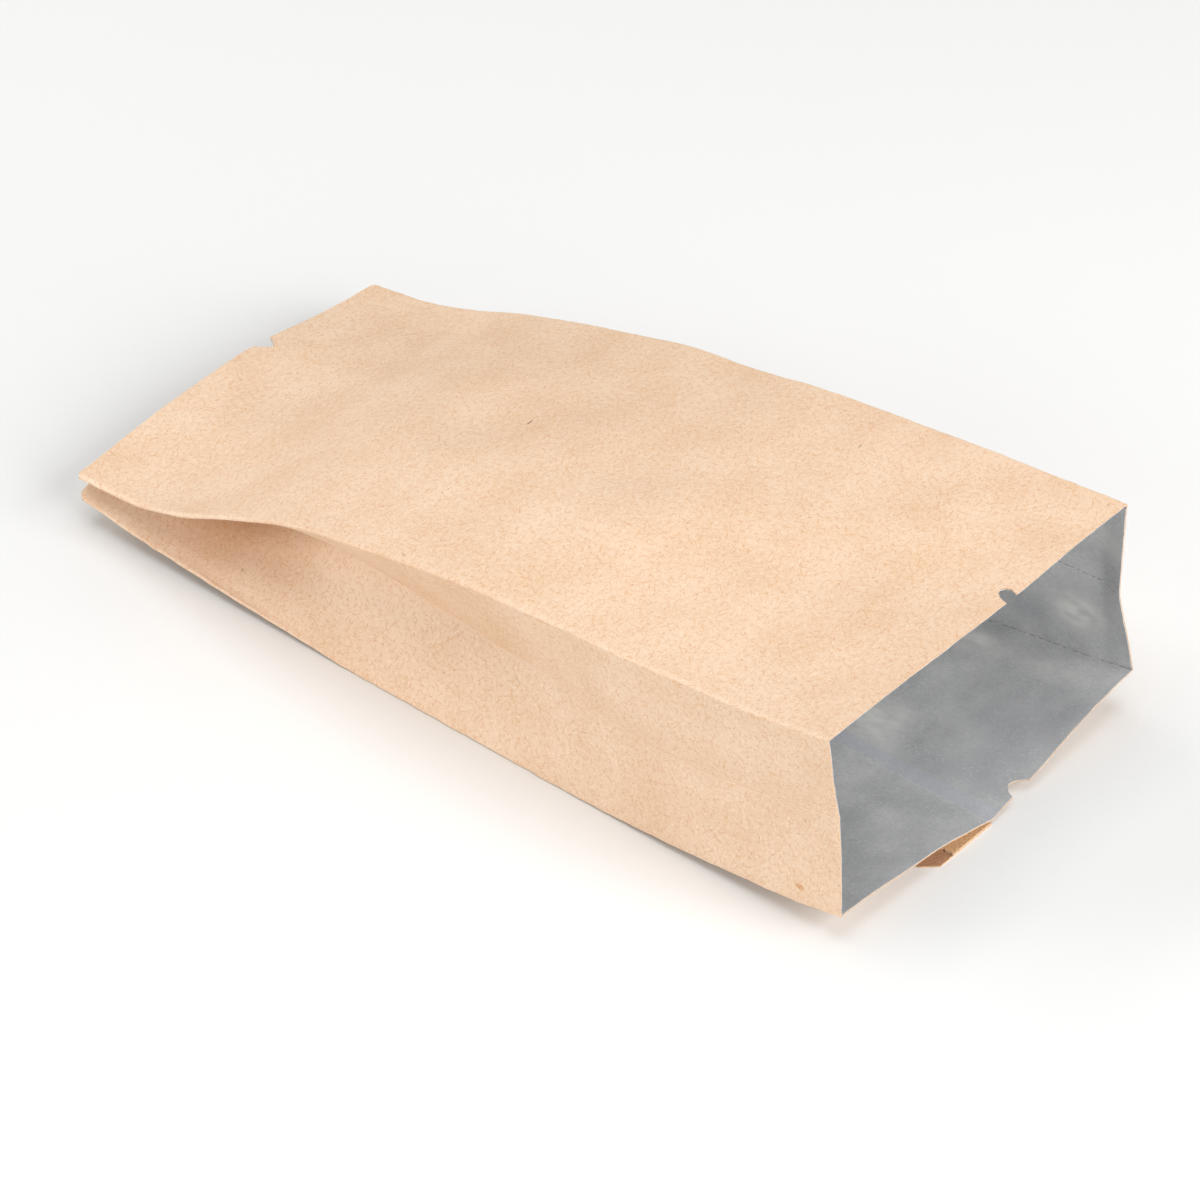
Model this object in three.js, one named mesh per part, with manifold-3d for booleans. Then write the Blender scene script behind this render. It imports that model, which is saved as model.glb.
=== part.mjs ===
// A small kraft paper bag with side gussets and a foil lining, empty, lying on its back panel.
//
// Millimetres, +Z up. The bag lies along X: its open mouth faces +X and its sealed end -X.
// The near gusset faces -Y and the far one +Y. The origin is under the middle of the bag.
//
// The bag is one tube of laminate. Its section is drawn at a number of stations, each at a
// distance from the mouth measured along the paper, and the sections are joined into walls:
//
//            top panel
//      TN ----------------- TF        TN, TF, BN, BF: the four long folds
//       \                   /         CN, CF: the inward crease of each gusset
//        CN               CF
//       /                   \
//      BN --------+-------- BF        + the glued seam, its fin folded to the near side
//         =======/

import * as THREE from 'three';
import Module from 'manifold-3d';

// ---- Sizes of the flat bag ---------------------------------------------------------------

const PANEL_WIDTH = 85; // front and back panel, fold to fold
const GUSSET_WIDTH = { near: 39.6, far: 38.6 }; // each gusset, fold to fold, opened out
const BAG_LENGTH = 195; // the tube's cut length
const SEAL_LENGTH = 10; // the flat seal across the closed end

const KRAFT = 0.26; // kraft paper, drawn thicker than the real sheet
const FOIL = 0.12; // foil lining, also thickened
const LAYER_GAP = 0.04; // between the two, so that each is a body of its own
const WALL = KRAFT + LAYER_GAP + FOIL;
const PRESSED_GAP = 0.1; // between two linings that lie pressed together
const DOUBLE = 2 * WALL + PRESSED_GAP; // two layers of laminate, pressed flat

// ---- How the opened bag lies ---------------------------------------------------------------

const LYING_LENGTH = 194.6; // from the mouth's lower edge, at the seam, to the sealed end
const MOUTH_SETBACK = 3.2; // the mouth's upper edge lies this far behind the lower one
const MOUTH_BOW = { depth: 0.6, length: 60 }; // the lower edge's corners lie behind its middle
const BACK_CURVE = { near: 1.5, far: 1.2 }; // 1 for a straight rise from the seam to the fold
const LEAST_CREASE = 1.2; // depth that a gusset's crease keeps where the gusset is pulled open
const SEAL_START = BAG_LENGTH - SEAL_LENGTH;
const LIFT_START = 118; // from here to the seal the back panel rises off the table

// Heights of the long folds: [distance from the mouth, height]
const TOP_FOLD = {
  near: [[0, 46.2], [13, 43.9], [30, 42.1], [60, 39.7], [80, 38.1], [118, 32.3], [134, 28.5],
    [150, 22.5], [166, 16.0], [182, 12.4], [195, 12.0]],
  far: [[0, 46.4], [27, 44.0], [60, 40.5], [100, 34.7], [134, 27.1], [150, 22.4], [166, 16.8],
    [182, 12.3], [195, 10.7]],
};
const BACK_FOLD = {
  near: [[0, 6.7], [13, 4.2], [27, 2.5], [43, 1.1], [60, 0.2], [75, 0], [118, 0], [134, 0.8],
    [166, 2.6], [182, 4.1], [195, 6.2]],
  far: [[0, 8.3], [13, 6.1], [27, 4.2], [43, 2.3], [60, 0.9], [80, 0], [118, 0], [134, 1.1],
    [166, 3.1], [182, 4.3], [195, 5.4]],
};

// The top panel's crown over the sealed end, and the dip of its edge at the mouth
const CROWN = { height: 3.15, y: -2, spread: 28, start: 120, end: 190 };
const MOUTH_DIP = { depth: 1.3, y: 5, spread: 15, length: 45 };

// ---- The glued seam's fin, under the back panel ----------------------------------------------

const FIN = {
  layer: 0.34, // each of its two layers
  upperWidth: 11.6,
  lowerWidth: 17.9,
  clippedWidth: 15.3, // the lower layer at the mouth, where its corner is cut off
  clipLength: 3,
  rootNear: -0.7,
  rootFar: 0.3,
};
const FIN_THICKNESS = 2 * FIN.layer;
const SEAM_LIFT = FIN_THICKNESS + 0.17; // the back panel passes over the fin at this height

// ---- Tear notches: centre across the bag, width and depth of each bite -----------------------

const NOTCHES = {
  mouthTop: { y: 8.6, width: 3.3, depth: 3.6, lean: 0.9 },
  mouthBack: { y: 8.5, width: 5.0, depth: 2.3, lean: -0.2 },
  sealedEnd: { y: 10.0, width: 4.7, depth: 3.2, lean: 0.3 },
};

// ---- How finely the sections are drawn --------------------------------------------------------

const STATIONS = [0, 3, 10, 20, 32, 46, 60, 75, 90, 104, 118, 127, 135, 142, 149, 156, 163, 170,
  176, 181, SEAL_START, 190, BAG_LENGTH];
const PANEL_POINTS = [-37, -30, -23.2, -19, -10, 0, 10, 19, 23.2, 30, 37]; // across a panel
const GUSSET_POINTS = [1 / 3, 2 / 3]; // from a fold to the crease
const NOTCH_POINTS = 5; // on each side of a notch

const HALF_WIDTH = PANEL_WIDTH / 2;
const BEND_RADIUS = DOUBLE / 2; // outside of a fold pressed flat

// ---- Small helpers -----------------------------------------------------------------------------

const lerp = THREE.MathUtils.lerp;
const ramp = (x, from, to) => THREE.MathUtils.smoothstep(x, from, to);
const bell = (x, centre, spread) => Math.exp(-(((x - centre) / spread) ** 2));
const flatBell = (x, centre, spread) => Math.exp(-(Math.abs((x - centre) / spread) ** 3));

// A smooth curve through [x, height] points that adds no humps of its own
function profile(points) {
  const last = points.length - 1;
  const slope = (i) => (points[i + 1][1] - points[i][1]) / (points[i + 1][0] - points[i][0]);
  const tangents = points.map((_, i) => {
    if (i === 0) return slope(0);
    if (i === last) return slope(last - 1);
    const [a, b] = [slope(i - 1), slope(i)];
    return a * b <= 0 ? 0 : (2 * a * b) / (a + b);
  });
  return (x) => {
    let i = 0;
    while (i < last - 1 && x > points[i + 1][0]) i += 1;
    const [[x0, z0], [x1, z1]] = [points[i], points[i + 1]];
    const width = x1 - x0;
    const t = (x - x0) / width;
    return z0 * (1 + 2 * t) * (1 - t) ** 2 + z1 * t * t * (3 - 2 * t)
      + width * t * (1 - t) * (tangents[i] * (1 - t) - tangents[i + 1] * t);
  };
}

// X along the bag for a distance along the paper, from how steeply the paper runs there
function runAlong(height, startX, endX, steps = BAG_LENGTH) {
  const run = [0];
  for (let i = 1; i <= steps; i += 1) {
    const [a, b] = [(i - 1) / steps, i / steps].map((part) => part * BAG_LENGTH);
    run.push(run[i - 1] + Math.sqrt((b - a) ** 2 - (height(b) - height(a)) ** 2));
  }
  return (s) => {
    const at = (s / BAG_LENGTH) * steps;
    const i = Math.min(Math.floor(at), steps - 1);
    return lerp(startX, endX, lerp(run[i], run[i + 1], at - i) / run[steps]);
  };
}

const topFold = { near: profile(TOP_FOLD.near), far: profile(TOP_FOLD.far) };
const backFold = { near: profile(BACK_FOLD.near), far: profile(BACK_FOLD.far) };
const between = (pair, y, s) => lerp(pair.near(s), pair.far(s), (y + HALF_WIDTH) / PANEL_WIDTH);
const rise = (y, curve) => 1 - Math.max(1 - Math.abs(y) / HALF_WIDTH, 0) ** curve;
const topX = runAlong((s) => between(topFold, 0, s), LYING_LENGTH / 2 - MOUTH_SETBACK,
  -LYING_LENGTH / 2);
const seamX = runAlong((s) => between(backFold, 0, s), LYING_LENGTH / 2, -LYING_LENGTH / 2);
const backX = (y, s) => seamX(s)
  - MOUTH_BOW.depth * rise(y, 2) * (1 - ramp(s, 0, MOUTH_BOW.length));

// ---- Outer faces of the laminate ---------------------------------------------------------------

function topHeight(y, s) {
  const crown = CROWN.height * flatBell(y, CROWN.y, CROWN.spread)
    * ramp(s, CROWN.start, CROWN.end);
  const dip = MOUTH_DIP.depth * bell(y, MOUTH_DIP.y, MOUTH_DIP.spread)
    * (1 - ramp(s, 0, MOUTH_DIP.length));
  return between(topFold, y, s) + crown - dip;
}

// 0 where the back panel lies on the table, 1 where it is sealed to the top panel
function closing(s) {
  const t = THREE.MathUtils.clamp((s - LIFT_START) / (SEAL_START - LIFT_START), 0, 1);
  return t ** 3 * (1.6 - 0.6 * t * t);
}

// In the seal the panels part beyond the gusset's crease and droop to their folds
function sealedHeight(y, s) {
  const creaseY = HALF_WIDTH - GUSSET_WIDTH.near / 2;
  const foldSide = y < 0 ? 'near' : 'far';
  const foldDrop = topFold[foldSide](s) - backFold[foldSide](s) - 2 * DOUBLE;
  const out = THREE.MathUtils.clamp((Math.abs(y) - creaseY) / (HALF_WIDTH - creaseY), 0, 1);
  const gussetLayers = DOUBLE * ramp(Math.abs(y), creaseY - 4, creaseY);
  return topHeight(y, s) - DOUBLE - gussetLayers - foldDrop * out ** 1.3;
}

// The back panel without the seam: a shallow V at the mouth, flat, then rising to the seal
function backBase(y, s) {
  const side = y < 0 ? 'near' : 'far';
  if (s < LIFT_START) return rise(y, BACK_CURVE[side]) * backFold[side](s);
  return lerp(between(backFold, y, s), sealedHeight(y, s), closing(s));
}

function backHeight(y, s) {
  const overFin = y < 0 ? 1 - ramp(-y, FIN.upperWidth, 2.6 * FIN.upperWidth) : 1 - ramp(y, 0, 16);
  return backBase(y, s) + SEAM_LIFT * overFin * (1 - closing(s));
}

// Underside of the fin: on the table from the mouth on, then under the rising panel
function finHeight(y, s) {
  return s < LIFT_START ? 0 : backBase(y, s) - SEAM_LIFT * closing(s);
}

// ---- One section -------------------------------------------------------------------------------

// Each point holds its place on the kraft's outer face, and the step inward for a depth of 1 mm.
const point = (x, y, z, stepY, stepZ) => ({ x, y, z, stepY, stepZ });

// The crease of a gusset: its place follows from the folds, 20 mm of paper away on each side
function creaseAt(side, s) {
  const sign = side === 'near' ? -1 : 1;
  const [top, back] = [topFold[side](s), backFold[side](s)];
  const apart = Math.hypot(top - back, topX(s) - backX(HALF_WIDTH, s));
  const half = GUSSET_WIDTH[side] / 2;
  const depth = Math.sqrt(Math.max(half ** 2 - (apart / 2) ** 2, 0) + LEAST_CREASE ** 2);
  const y = sign * (HALF_WIDTH - depth);
  const pressed = (topHeight(y, s) - DOUBLE + backHeight(y, s) + DOUBLE) / 2;
  return { y, z: lerp((top + back) / 2, pressed, closing(s)) };
}

// Angle of a direction in the section, seen from the mouth
const angleOf = (dy, dz) => Math.atan2(dz, dy);

// Points round a fold's bend, from one outward normal's angle to the other
function foldPoints(x, centreY, centreZ, fromAngle, toAngle) {
  let turn = toAngle - fromAngle;
  while (turn > 0) turn -= 2 * Math.PI;
  return [0, 0.5, 1].map((part) => {
    const angle = fromAngle + part * turn;
    const [dy, dz] = [Math.cos(angle), Math.sin(angle)];
    return point(x, centreY + BEND_RADIUS * dy, centreZ + BEND_RADIUS * dz, -dy, -dz);
  });
}

// Points across a panel or half a gusset, stepping inward square to the line they lie on
function facePoints(places) {
  return places.slice(1, -1).map(([x, y, z], i) => {
    const [, beforeY, beforeZ] = places[i];
    const [, afterY, afterZ] = places[i + 2];
    const length = Math.hypot(afterY - beforeY, afterZ - beforeZ);
    return point(x, y, z, (afterZ - beforeZ) / length, -(afterY - beforeY) / length);
  });
}

// The fin hangs from the seam, folded to the near side, its lower layer the wider
function finPoints(s) {
  const clip = Math.min(s / FIN.clipLength, 1);
  const lower = lerp(FIN.clippedWidth, FIN.lowerWidth, clip);
  const corners = [
    [FIN.rootFar, 0], [-lower, 0], [-lower, FIN.layer], [-FIN.upperWidth, FIN.layer],
    [-FIN.upperWidth, FIN_THICKNESS], [FIN.rootNear, FIN_THICKNESS],
  ];
  return corners.map(([y, up]) => point(seamX(s), y, finHeight(y, s) + up, 0, 0));
}

// Half a gusset between a fold and its crease: straight where open, along its panel where pressed
function gussetPlaces(side, s, panelHeight, pressedStep) {
  const sign = side === 'near' ? -1 : 1;
  const crease = creaseAt(side, s);
  const foldY = sign * HALF_WIDTH;
  const foldZ = panelHeight(foldY, s) + Math.sign(pressedStep) * BEND_RADIUS;
  const foldX = { top: topX(s), back: backX(HALF_WIDTH, s) };
  const panelX = panelHeight === topHeight ? foldX.top : foldX.back;
  const creaseX = (foldX.top + foldX.back) / 2;
  return [0, ...GUSSET_POINTS, 1].map((part) => {
    const y = lerp(foldY, crease.y, part);
    const open = lerp(foldZ, crease.z, part);
    const pressed = part === 1 ? crease.z : panelHeight(y, s) + pressedStep;
    return [lerp(panelX, creaseX, part), y, lerp(open, pressed, closing(s))];
  });
}

function creasePoint(before, at, after) {
  const incoming = angleOf(at[1] - before[1], at[2] - before[2]);
  let turn = angleOf(after[1] - at[1], after[2] - at[2]) - incoming;
  turn = THREE.MathUtils.euclideanModulo(turn + Math.PI, 2 * Math.PI) - Math.PI;
  const inward = incoming + turn / 2 - Math.PI / 2;
  const reach = Math.min(1 / Math.max(Math.cos(turn / 2), 0.01), 1.8);
  return point(at[0], at[1], at[2], reach * Math.cos(inward), reach * Math.sin(inward));
}

// Whole section in order: top panel, far gusset, back panel with the fin, near gusset
function section(s) {
  const foldY = HALF_WIDTH - BEND_RADIUS;
  const panelYs = [-foldY, ...PANEL_POINTS, foldY];
  const top = panelYs.map((y) => [topX(s), y, topHeight(y, s)]);
  const back = panelYs.map((y) => [backX(y, s), y, backHeight(y, s)]).reverse();
  const halves = {};
  ['near', 'far'].forEach((side) => {
    halves[side] = {
      upper: gussetPlaces(side, s, topHeight, -DOUBLE),
      lower: gussetPlaces(side, s, backHeight, DOUBLE),
    };
  });
  const outward = (from, to) => angleOf(to[1] - from[1], to[2] - from[2]) + Math.PI / 2;
  const topFoldPoints = (y, angleIn, angleOut) => foldPoints(topX(s), y,
    topHeight(y, s) - BEND_RADIUS, angleIn, angleOut);
  const backFoldPoints = (y, angleIn, angleOut) => foldPoints(backX(y, s), y,
    backHeight(y, s) + BEND_RADIUS, angleIn, angleOut);

  const farUpper = halves.far.upper;
  const farLower = [...halves.far.lower].reverse();
  const nearLower = halves.near.lower;
  const nearUpper = [...halves.near.upper].reverse();
  const end = top.length - 1;
  const steps = farUpper.length - 1;
  const backPoints = facePoints(back);
  const seam = PANEL_POINTS.length - 1 - PANEL_POINTS.indexOf(0);
  return {
    beforeFin: [
      ...facePoints(top),
      ...topFoldPoints(foldY, outward(top[end - 1], top[end]),
        outward(farUpper[0], farUpper[1])),
      ...facePoints(farUpper),
      creasePoint(farUpper[steps - 1], farUpper[steps], farLower[1]),
      ...facePoints(farLower),
      ...backFoldPoints(foldY, outward(farLower[steps - 1], farLower[steps]),
        outward(back[0], back[1])),
      ...backPoints.slice(0, seam),
    ],
    fin: finPoints(s),
    afterFin: [
      ...backPoints.slice(seam + 1),
      ...backFoldPoints(-foldY, outward(back[end - 1], back[end]),
        outward(nearLower[0], nearLower[1])),
      ...facePoints(nearLower),
      creasePoint(nearLower[steps - 1], nearLower[steps], nearUpper[1]),
      ...facePoints(nearUpper),
      ...topFoldPoints(-foldY, outward(nearUpper[steps - 1], nearUpper[steps]),
        outward(top[0], top[1])),
    ],
    seam: ['rootFar', 'rootNear'].map((root) => point(seamX(s), FIN[root],
      backHeight(FIN[root], s), 0, 1)),
  };
}

// The section's closed outline at a depth below the kraft's outer face
function outline(cut, depth, withFin) {
  const points = [...cut.beforeFin, cut.seam[0], ...(withFin ? cut.fin : []), cut.seam[1],
    ...cut.afterFin];
  return points.map(({ x, y, z, stepY, stepZ }) => [x, y + depth * stepY, z + depth * stepZ]);
}

// ---- Bodies from sections ------------------------------------------------------------------------

class Body {
  constructor() {
    this.vertices = [];
    this.faces = [];
  }

  addRing(points) {
    const first = this.vertices.length;
    this.vertices.push(...points);
    return points.map((_, i) => first + i);
  }

  // Wall between rings, facing out of the bag, or into it
  addWall(rings, facesIn = false) {
    for (let j = 0; j + 1 < rings.length; j += 1) {
      const [a, b] = [rings[j], rings[j + 1]];
      for (let i = 0; i < a.length; i += 1) {
        const next = (i + 1) % a.length;
        const pair = [[a[i], a[next], b[i]], [a[next], b[next], b[i]]];
        pair.forEach((face) => this.faces.push(facesIn ? face.reverse() : face));
      }
    }
  }

  // Cut edge between two matching rings, facing +X or -X
  addRim(outer, inner, sign) {
    outer.forEach((a, i) => {
      const next = (i + 1) % outer.length;
      const pair = [[a, inner[i], inner[next]], [a, inner[next], outer[next]]];
      pair.forEach((face) => this.faces.push(sign > 0 ? face : face.reverse()));
    });
  }

  // Flat cap inside a ring, facing +X or -X
  addCap(ring, sign) {
    const places = ring.map((i) => new THREE.Vector2(this.vertices[i][1], this.vertices[i][2]));
    THREE.ShapeUtils.triangulateShape(places, []).forEach(([a, b, c]) => {
      const area = THREE.ShapeUtils.area([places[a], places[b], places[c]]);
      const face = [ring[a], ring[b], ring[c]];
      this.faces.push(area * sign > 0 ? face : face.reverse());
    });
  }
}

const cuts = STATIONS.map(section);
const sealStation = STATIONS.indexOf(SEAL_START);

function kraftBody() {
  const body = new Body();
  const outer = cuts.map((cut) => body.addRing(outline(cut, 0, true)));
  const inner = cuts.map((cut) => body.addRing(outline(cut, KRAFT, false)));
  body.addWall(outer);
  body.addWall(inner, true);
  const finStart = cuts[0].beforeFin.length + 1;
  const finEnd = finStart + cuts[0].fin.length;
  [[outer[0], inner[0], 1], [outer.at(-1), inner.at(-1), -1]].forEach(([ring, hole, sign]) => {
    body.addRim([...ring.slice(0, finStart), ...ring.slice(finEnd)], hole, sign);
    body.addCap(ring.slice(finStart - 1, finEnd + 1), sign);
  });
  return body;
}

// The lining is open from the mouth to the seal, and two layers pressed into one beyond it
function foilBody() {
  const body = new Body();
  const outer = cuts.map((cut) => body.addRing(outline(cut, KRAFT + LAYER_GAP, false)));
  const inner = cuts.slice(0, sealStation + 1)
    .map((cut) => body.addRing(outline(cut, WALL, false)));
  body.addWall(outer);
  body.addWall(inner, true);
  body.addRim(outer[0], inner[0], 1);
  body.addCap(inner.at(-1), 1);
  body.addCap(outer.at(-1), -1);
  return body;
}

// ---- Notches ---------------------------------------------------------------------------------------

// A rounded bite into the edge at edgeX, cut towards the inside of the bag
function notchGeometry({ y, width, depth, lean }, edgeX, inward, fromZ, toZ) {
  const overrun = 1.5;
  const tip = [edgeX + inward * depth, y + lean];
  const shape = new THREE.Shape();
  shape.moveTo(edgeX - inward * overrun, y - width / 2);
  shape.lineTo(edgeX, y - width / 2);
  shape.quadraticCurveTo(tip[0], y - width / 3, ...tip);
  shape.quadraticCurveTo(tip[0], y + width / 3 + lean, edgeX, y + width / 2);
  shape.lineTo(edgeX - inward * overrun, y + width / 2);
  const geometry = new THREE.ExtrudeGeometry(shape, {
    depth: toZ - fromZ, bevelEnabled: false, curveSegments: NOTCH_POINTS,
  });
  return geometry.translate(0, 0, fromZ);
}

const notches = [
  notchGeometry(NOTCHES.mouthTop, topX(0), -1, 35, 55),
  notchGeometry(NOTCHES.mouthBack, backX(NOTCHES.mouthBack.y, 0), -1, -1, 12),
  notchGeometry(NOTCHES.sealedEnd, topX(BAG_LENGTH), 1, -1, 25),
];

// ---- Boolean cuts ----------------------------------------------------------------------------------

const wasm = await Module();
wasm.setup();

function toManifold(vertices, faces) {
  return new wasm.Manifold(new wasm.Mesh({
    numProp: 3,
    vertProperties: new Float32Array(vertices.flat()),
    triVerts: new Uint32Array(faces.flat()),
  }));
}

// An extruded shape with its repeated corners merged into shared vertices
function manifoldOf(geometry) {
  const places = geometry.getAttribute('position');
  const found = new Map();
  const vertices = [];
  const indices = Array.from({ length: places.count }, (_, i) => {
    const place = [places.getX(i), places.getY(i), places.getZ(i)];
    const key = place.map((value) => value.toFixed(4)).join();
    if (!found.has(key)) found.set(key, vertices.push(place) - 1);
    return found.get(key);
  });
  const faces = [];
  for (let i = 0; i < indices.length; i += 3) faces.push(indices.slice(i, i + 3));
  return toManifold(vertices, faces);
}

const cutters = notches.map(manifoldOf);

function meshOf(name, body, material) {
  const solid = cutters.reduce((rest, cutter) => rest.subtract(cutter),
    toManifold(body.vertices, body.faces));
  const { vertProperties, triVerts } = solid.getMesh();
  const geometry = new THREE.BufferGeometry();
  geometry.setAttribute('position', new THREE.BufferAttribute(vertProperties, 3));
  geometry.setIndex(new THREE.BufferAttribute(triVerts, 1));
  geometry.computeVertexNormals();
  const mesh = new THREE.Mesh(geometry, material);
  mesh.name = name;
  return mesh;
}

// ---- The bag -----------------------------------------------------------------------------------------

const kraftPaper = new THREE.MeshStandardMaterial({
  color: 0xdfb88d, roughness: 0.85, metalness: 0, flatShading: true,
});
const foilLining = new THREE.MeshStandardMaterial({
  color: 0x9c9e9f, roughness: 0.45, metalness: 0.6, flatShading: true,
});

const bag = new THREE.Group();
bag.add(meshOf('kraft_shell', kraftBody(), kraftPaper));
bag.add(meshOf('foil_lining', foilBody(), foilLining));

export default bag;
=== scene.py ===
"""A small kraft paper bag with side gussets and a foil lining, empty, lying on its back panel.

The bag is one tube of laminate. Its outer face follows the same sizes as the solids, sampled much
more finely, and the kraft paper, the foil lining and the glued seam's fin are laid along it.

Frame: metres, +Z up. The open mouth faces +X, the sealed end -X, the near gusset -Y and the far
one +Y. Sizes in this file are millimetres, turned into metres when a mesh is made.
"""

import logging
import math
from dataclasses import dataclass, field
from enum import Enum
from typing import Any, TypeAlias

import bpy
import numpy as np
from mathutils import Matrix, Vector
from mathutils.geometry import tessellate_polygon


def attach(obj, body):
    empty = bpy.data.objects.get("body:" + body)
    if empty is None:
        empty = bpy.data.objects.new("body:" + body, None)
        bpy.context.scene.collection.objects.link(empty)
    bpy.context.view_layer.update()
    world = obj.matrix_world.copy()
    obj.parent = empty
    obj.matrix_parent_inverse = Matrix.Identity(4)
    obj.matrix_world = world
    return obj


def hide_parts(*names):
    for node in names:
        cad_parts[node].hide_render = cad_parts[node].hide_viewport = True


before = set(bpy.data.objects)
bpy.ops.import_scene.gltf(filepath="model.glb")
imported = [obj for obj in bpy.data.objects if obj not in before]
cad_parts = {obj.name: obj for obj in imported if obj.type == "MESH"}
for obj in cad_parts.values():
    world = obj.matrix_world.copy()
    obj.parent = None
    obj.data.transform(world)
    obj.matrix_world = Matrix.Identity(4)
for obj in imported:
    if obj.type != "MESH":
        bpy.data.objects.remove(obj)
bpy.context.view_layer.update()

LOG = logging.getLogger("kraft_bag")
MM = 0.001
BODY = "root"
SHEET_SPAN = 300.0  # millimetres of paper to one unit of the sheet's UV map
SHEET_MAP = "sheet"

Array: TypeAlias = np.ndarray
Colour: TypeAlias = tuple[float, ...]


# ---- Small curves ----


def ramp(value: Array | float, start: float, end: float) -> Array:
    """Rise smoothly from 0 at start to 1 at end.

    Args:
        value: Where to read the ramp.
        start: Value at which it leaves 0.
        end: Value at which it reaches 1.

    Returns:
        The ramp, of the value's own shape.
    """
    part = np.clip((np.asarray(value, float) - start) / (end - start), 0.0, 1.0)
    return part * part * (3.0 - 2.0 * part)


def lerp(first: Array | float, second: Array | float, part: Array | float) -> Array:
    """Go from first to second as part goes from 0 to 1."""
    return first + (second - first) * part


def bell(value: Array | float, centre: float, spread: float, power: float = 2.0) -> Array:
    """Give a hump of height 1 round a centre.

    Args:
        value: Where to read the hump.
        centre: Value at its top.
        spread: Distance at which it has fallen to about a third.
        power: 2 for a plain bell, more for a flatter top.

    Returns:
        The hump, of the value's own shape.
    """
    return np.exp(-np.abs((value - centre) / spread) ** power)


def hermite(knots: Array, values: Array, slopes: Array, at: Array | float) -> Array:
    """Read a curve made of one cubic between each two knots.

    Args:
        knots: Places of the knots, rising.
        values: The curve's value at each knot.
        slopes: Its slope at each knot.
        at: Where to read it.

    Returns:
        The curve's values, of the shape of at.
    """
    at = np.asarray(at, float)
    i = np.clip(np.searchsorted(knots, at, side="left") - 1, 0, len(knots) - 2)
    width = knots[i + 1] - knots[i]
    t = (at - knots[i]) / width
    ends = values[i] * (1 + 2 * t) * (1 - t) ** 2 + values[i + 1] * t * t * (3 - 2 * t)
    return ends + width * t * (1 - t) * (slopes[i] * (1 - t) - slopes[i + 1] * t)


def arch(part: Array | float) -> Array:
    """Rise from 0 to 1 and fall back to 0 as part goes from 0 to 1."""
    return 4.0 * part * (1.0 - part)


class Profile:
    """A smooth curve through (distance, height) points that adds no humps of its own."""

    def __init__(self, *points: tuple[float, float]) -> None:
        """Keep the points and work out the curve's slope at each."""
        self.x, self.z = (np.array(column, float) for column in zip(*points))
        chord = np.diff(self.z) / np.diff(self.x)
        before, after = chord[:-1], chord[1:]
        same_way = before * after > 0
        total = np.where(same_way, before + after, 1.0)
        inner = np.where(same_way, 2.0 * before * after / total, 0.0)
        self.slope = np.concatenate([chord[:1], inner, chord[-1:]])

    def __call__(self, distance: Array | float) -> Array:
        """Read the curve's height at a distance."""
        return hermite(self.x, self.z, self.slope, distance)


@dataclass(frozen=True)
class Ripple:
    """A smooth random field: plane waves of seeded directions, lengths and phases."""

    height: float
    shortest: float
    longest: float
    seed: int
    waves: int = 16

    def __call__(self, points: Array) -> Array:
        """Read the field.

        Args:
            points: Places in millimetres, with the coordinates along the last axis.

        Returns:
            The field's value at each place, mostly within plus or minus the height.
        """
        draw = np.random.default_rng(self.seed)
        dimensions = points.shape[-1]
        total = np.zeros(points.shape[:-1])
        for _ in range(self.waves):
            direction = draw.normal(size=dimensions)
            direction /= np.linalg.norm(direction)
            length = math.exp(draw.uniform(math.log(self.shortest), math.log(self.longest)))
            phase = draw.uniform(0.0, math.tau)
            total += np.sin(points @ direction * (math.tau / length) + phase)
        return self.height * total / math.sqrt(self.waves)


# ---- The opened bag's form ----


class Side(Enum):
    """The two gussets, by the way each lies from the middle of the bag."""

    NEAR = -1
    FAR = 1


def per_side(near: Any, far: Any) -> Any:
    """Make a dataclass field that holds one value for each gusset."""
    return field(default_factory=lambda: {Side.NEAR: near, Side.FAR: far})


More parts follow.
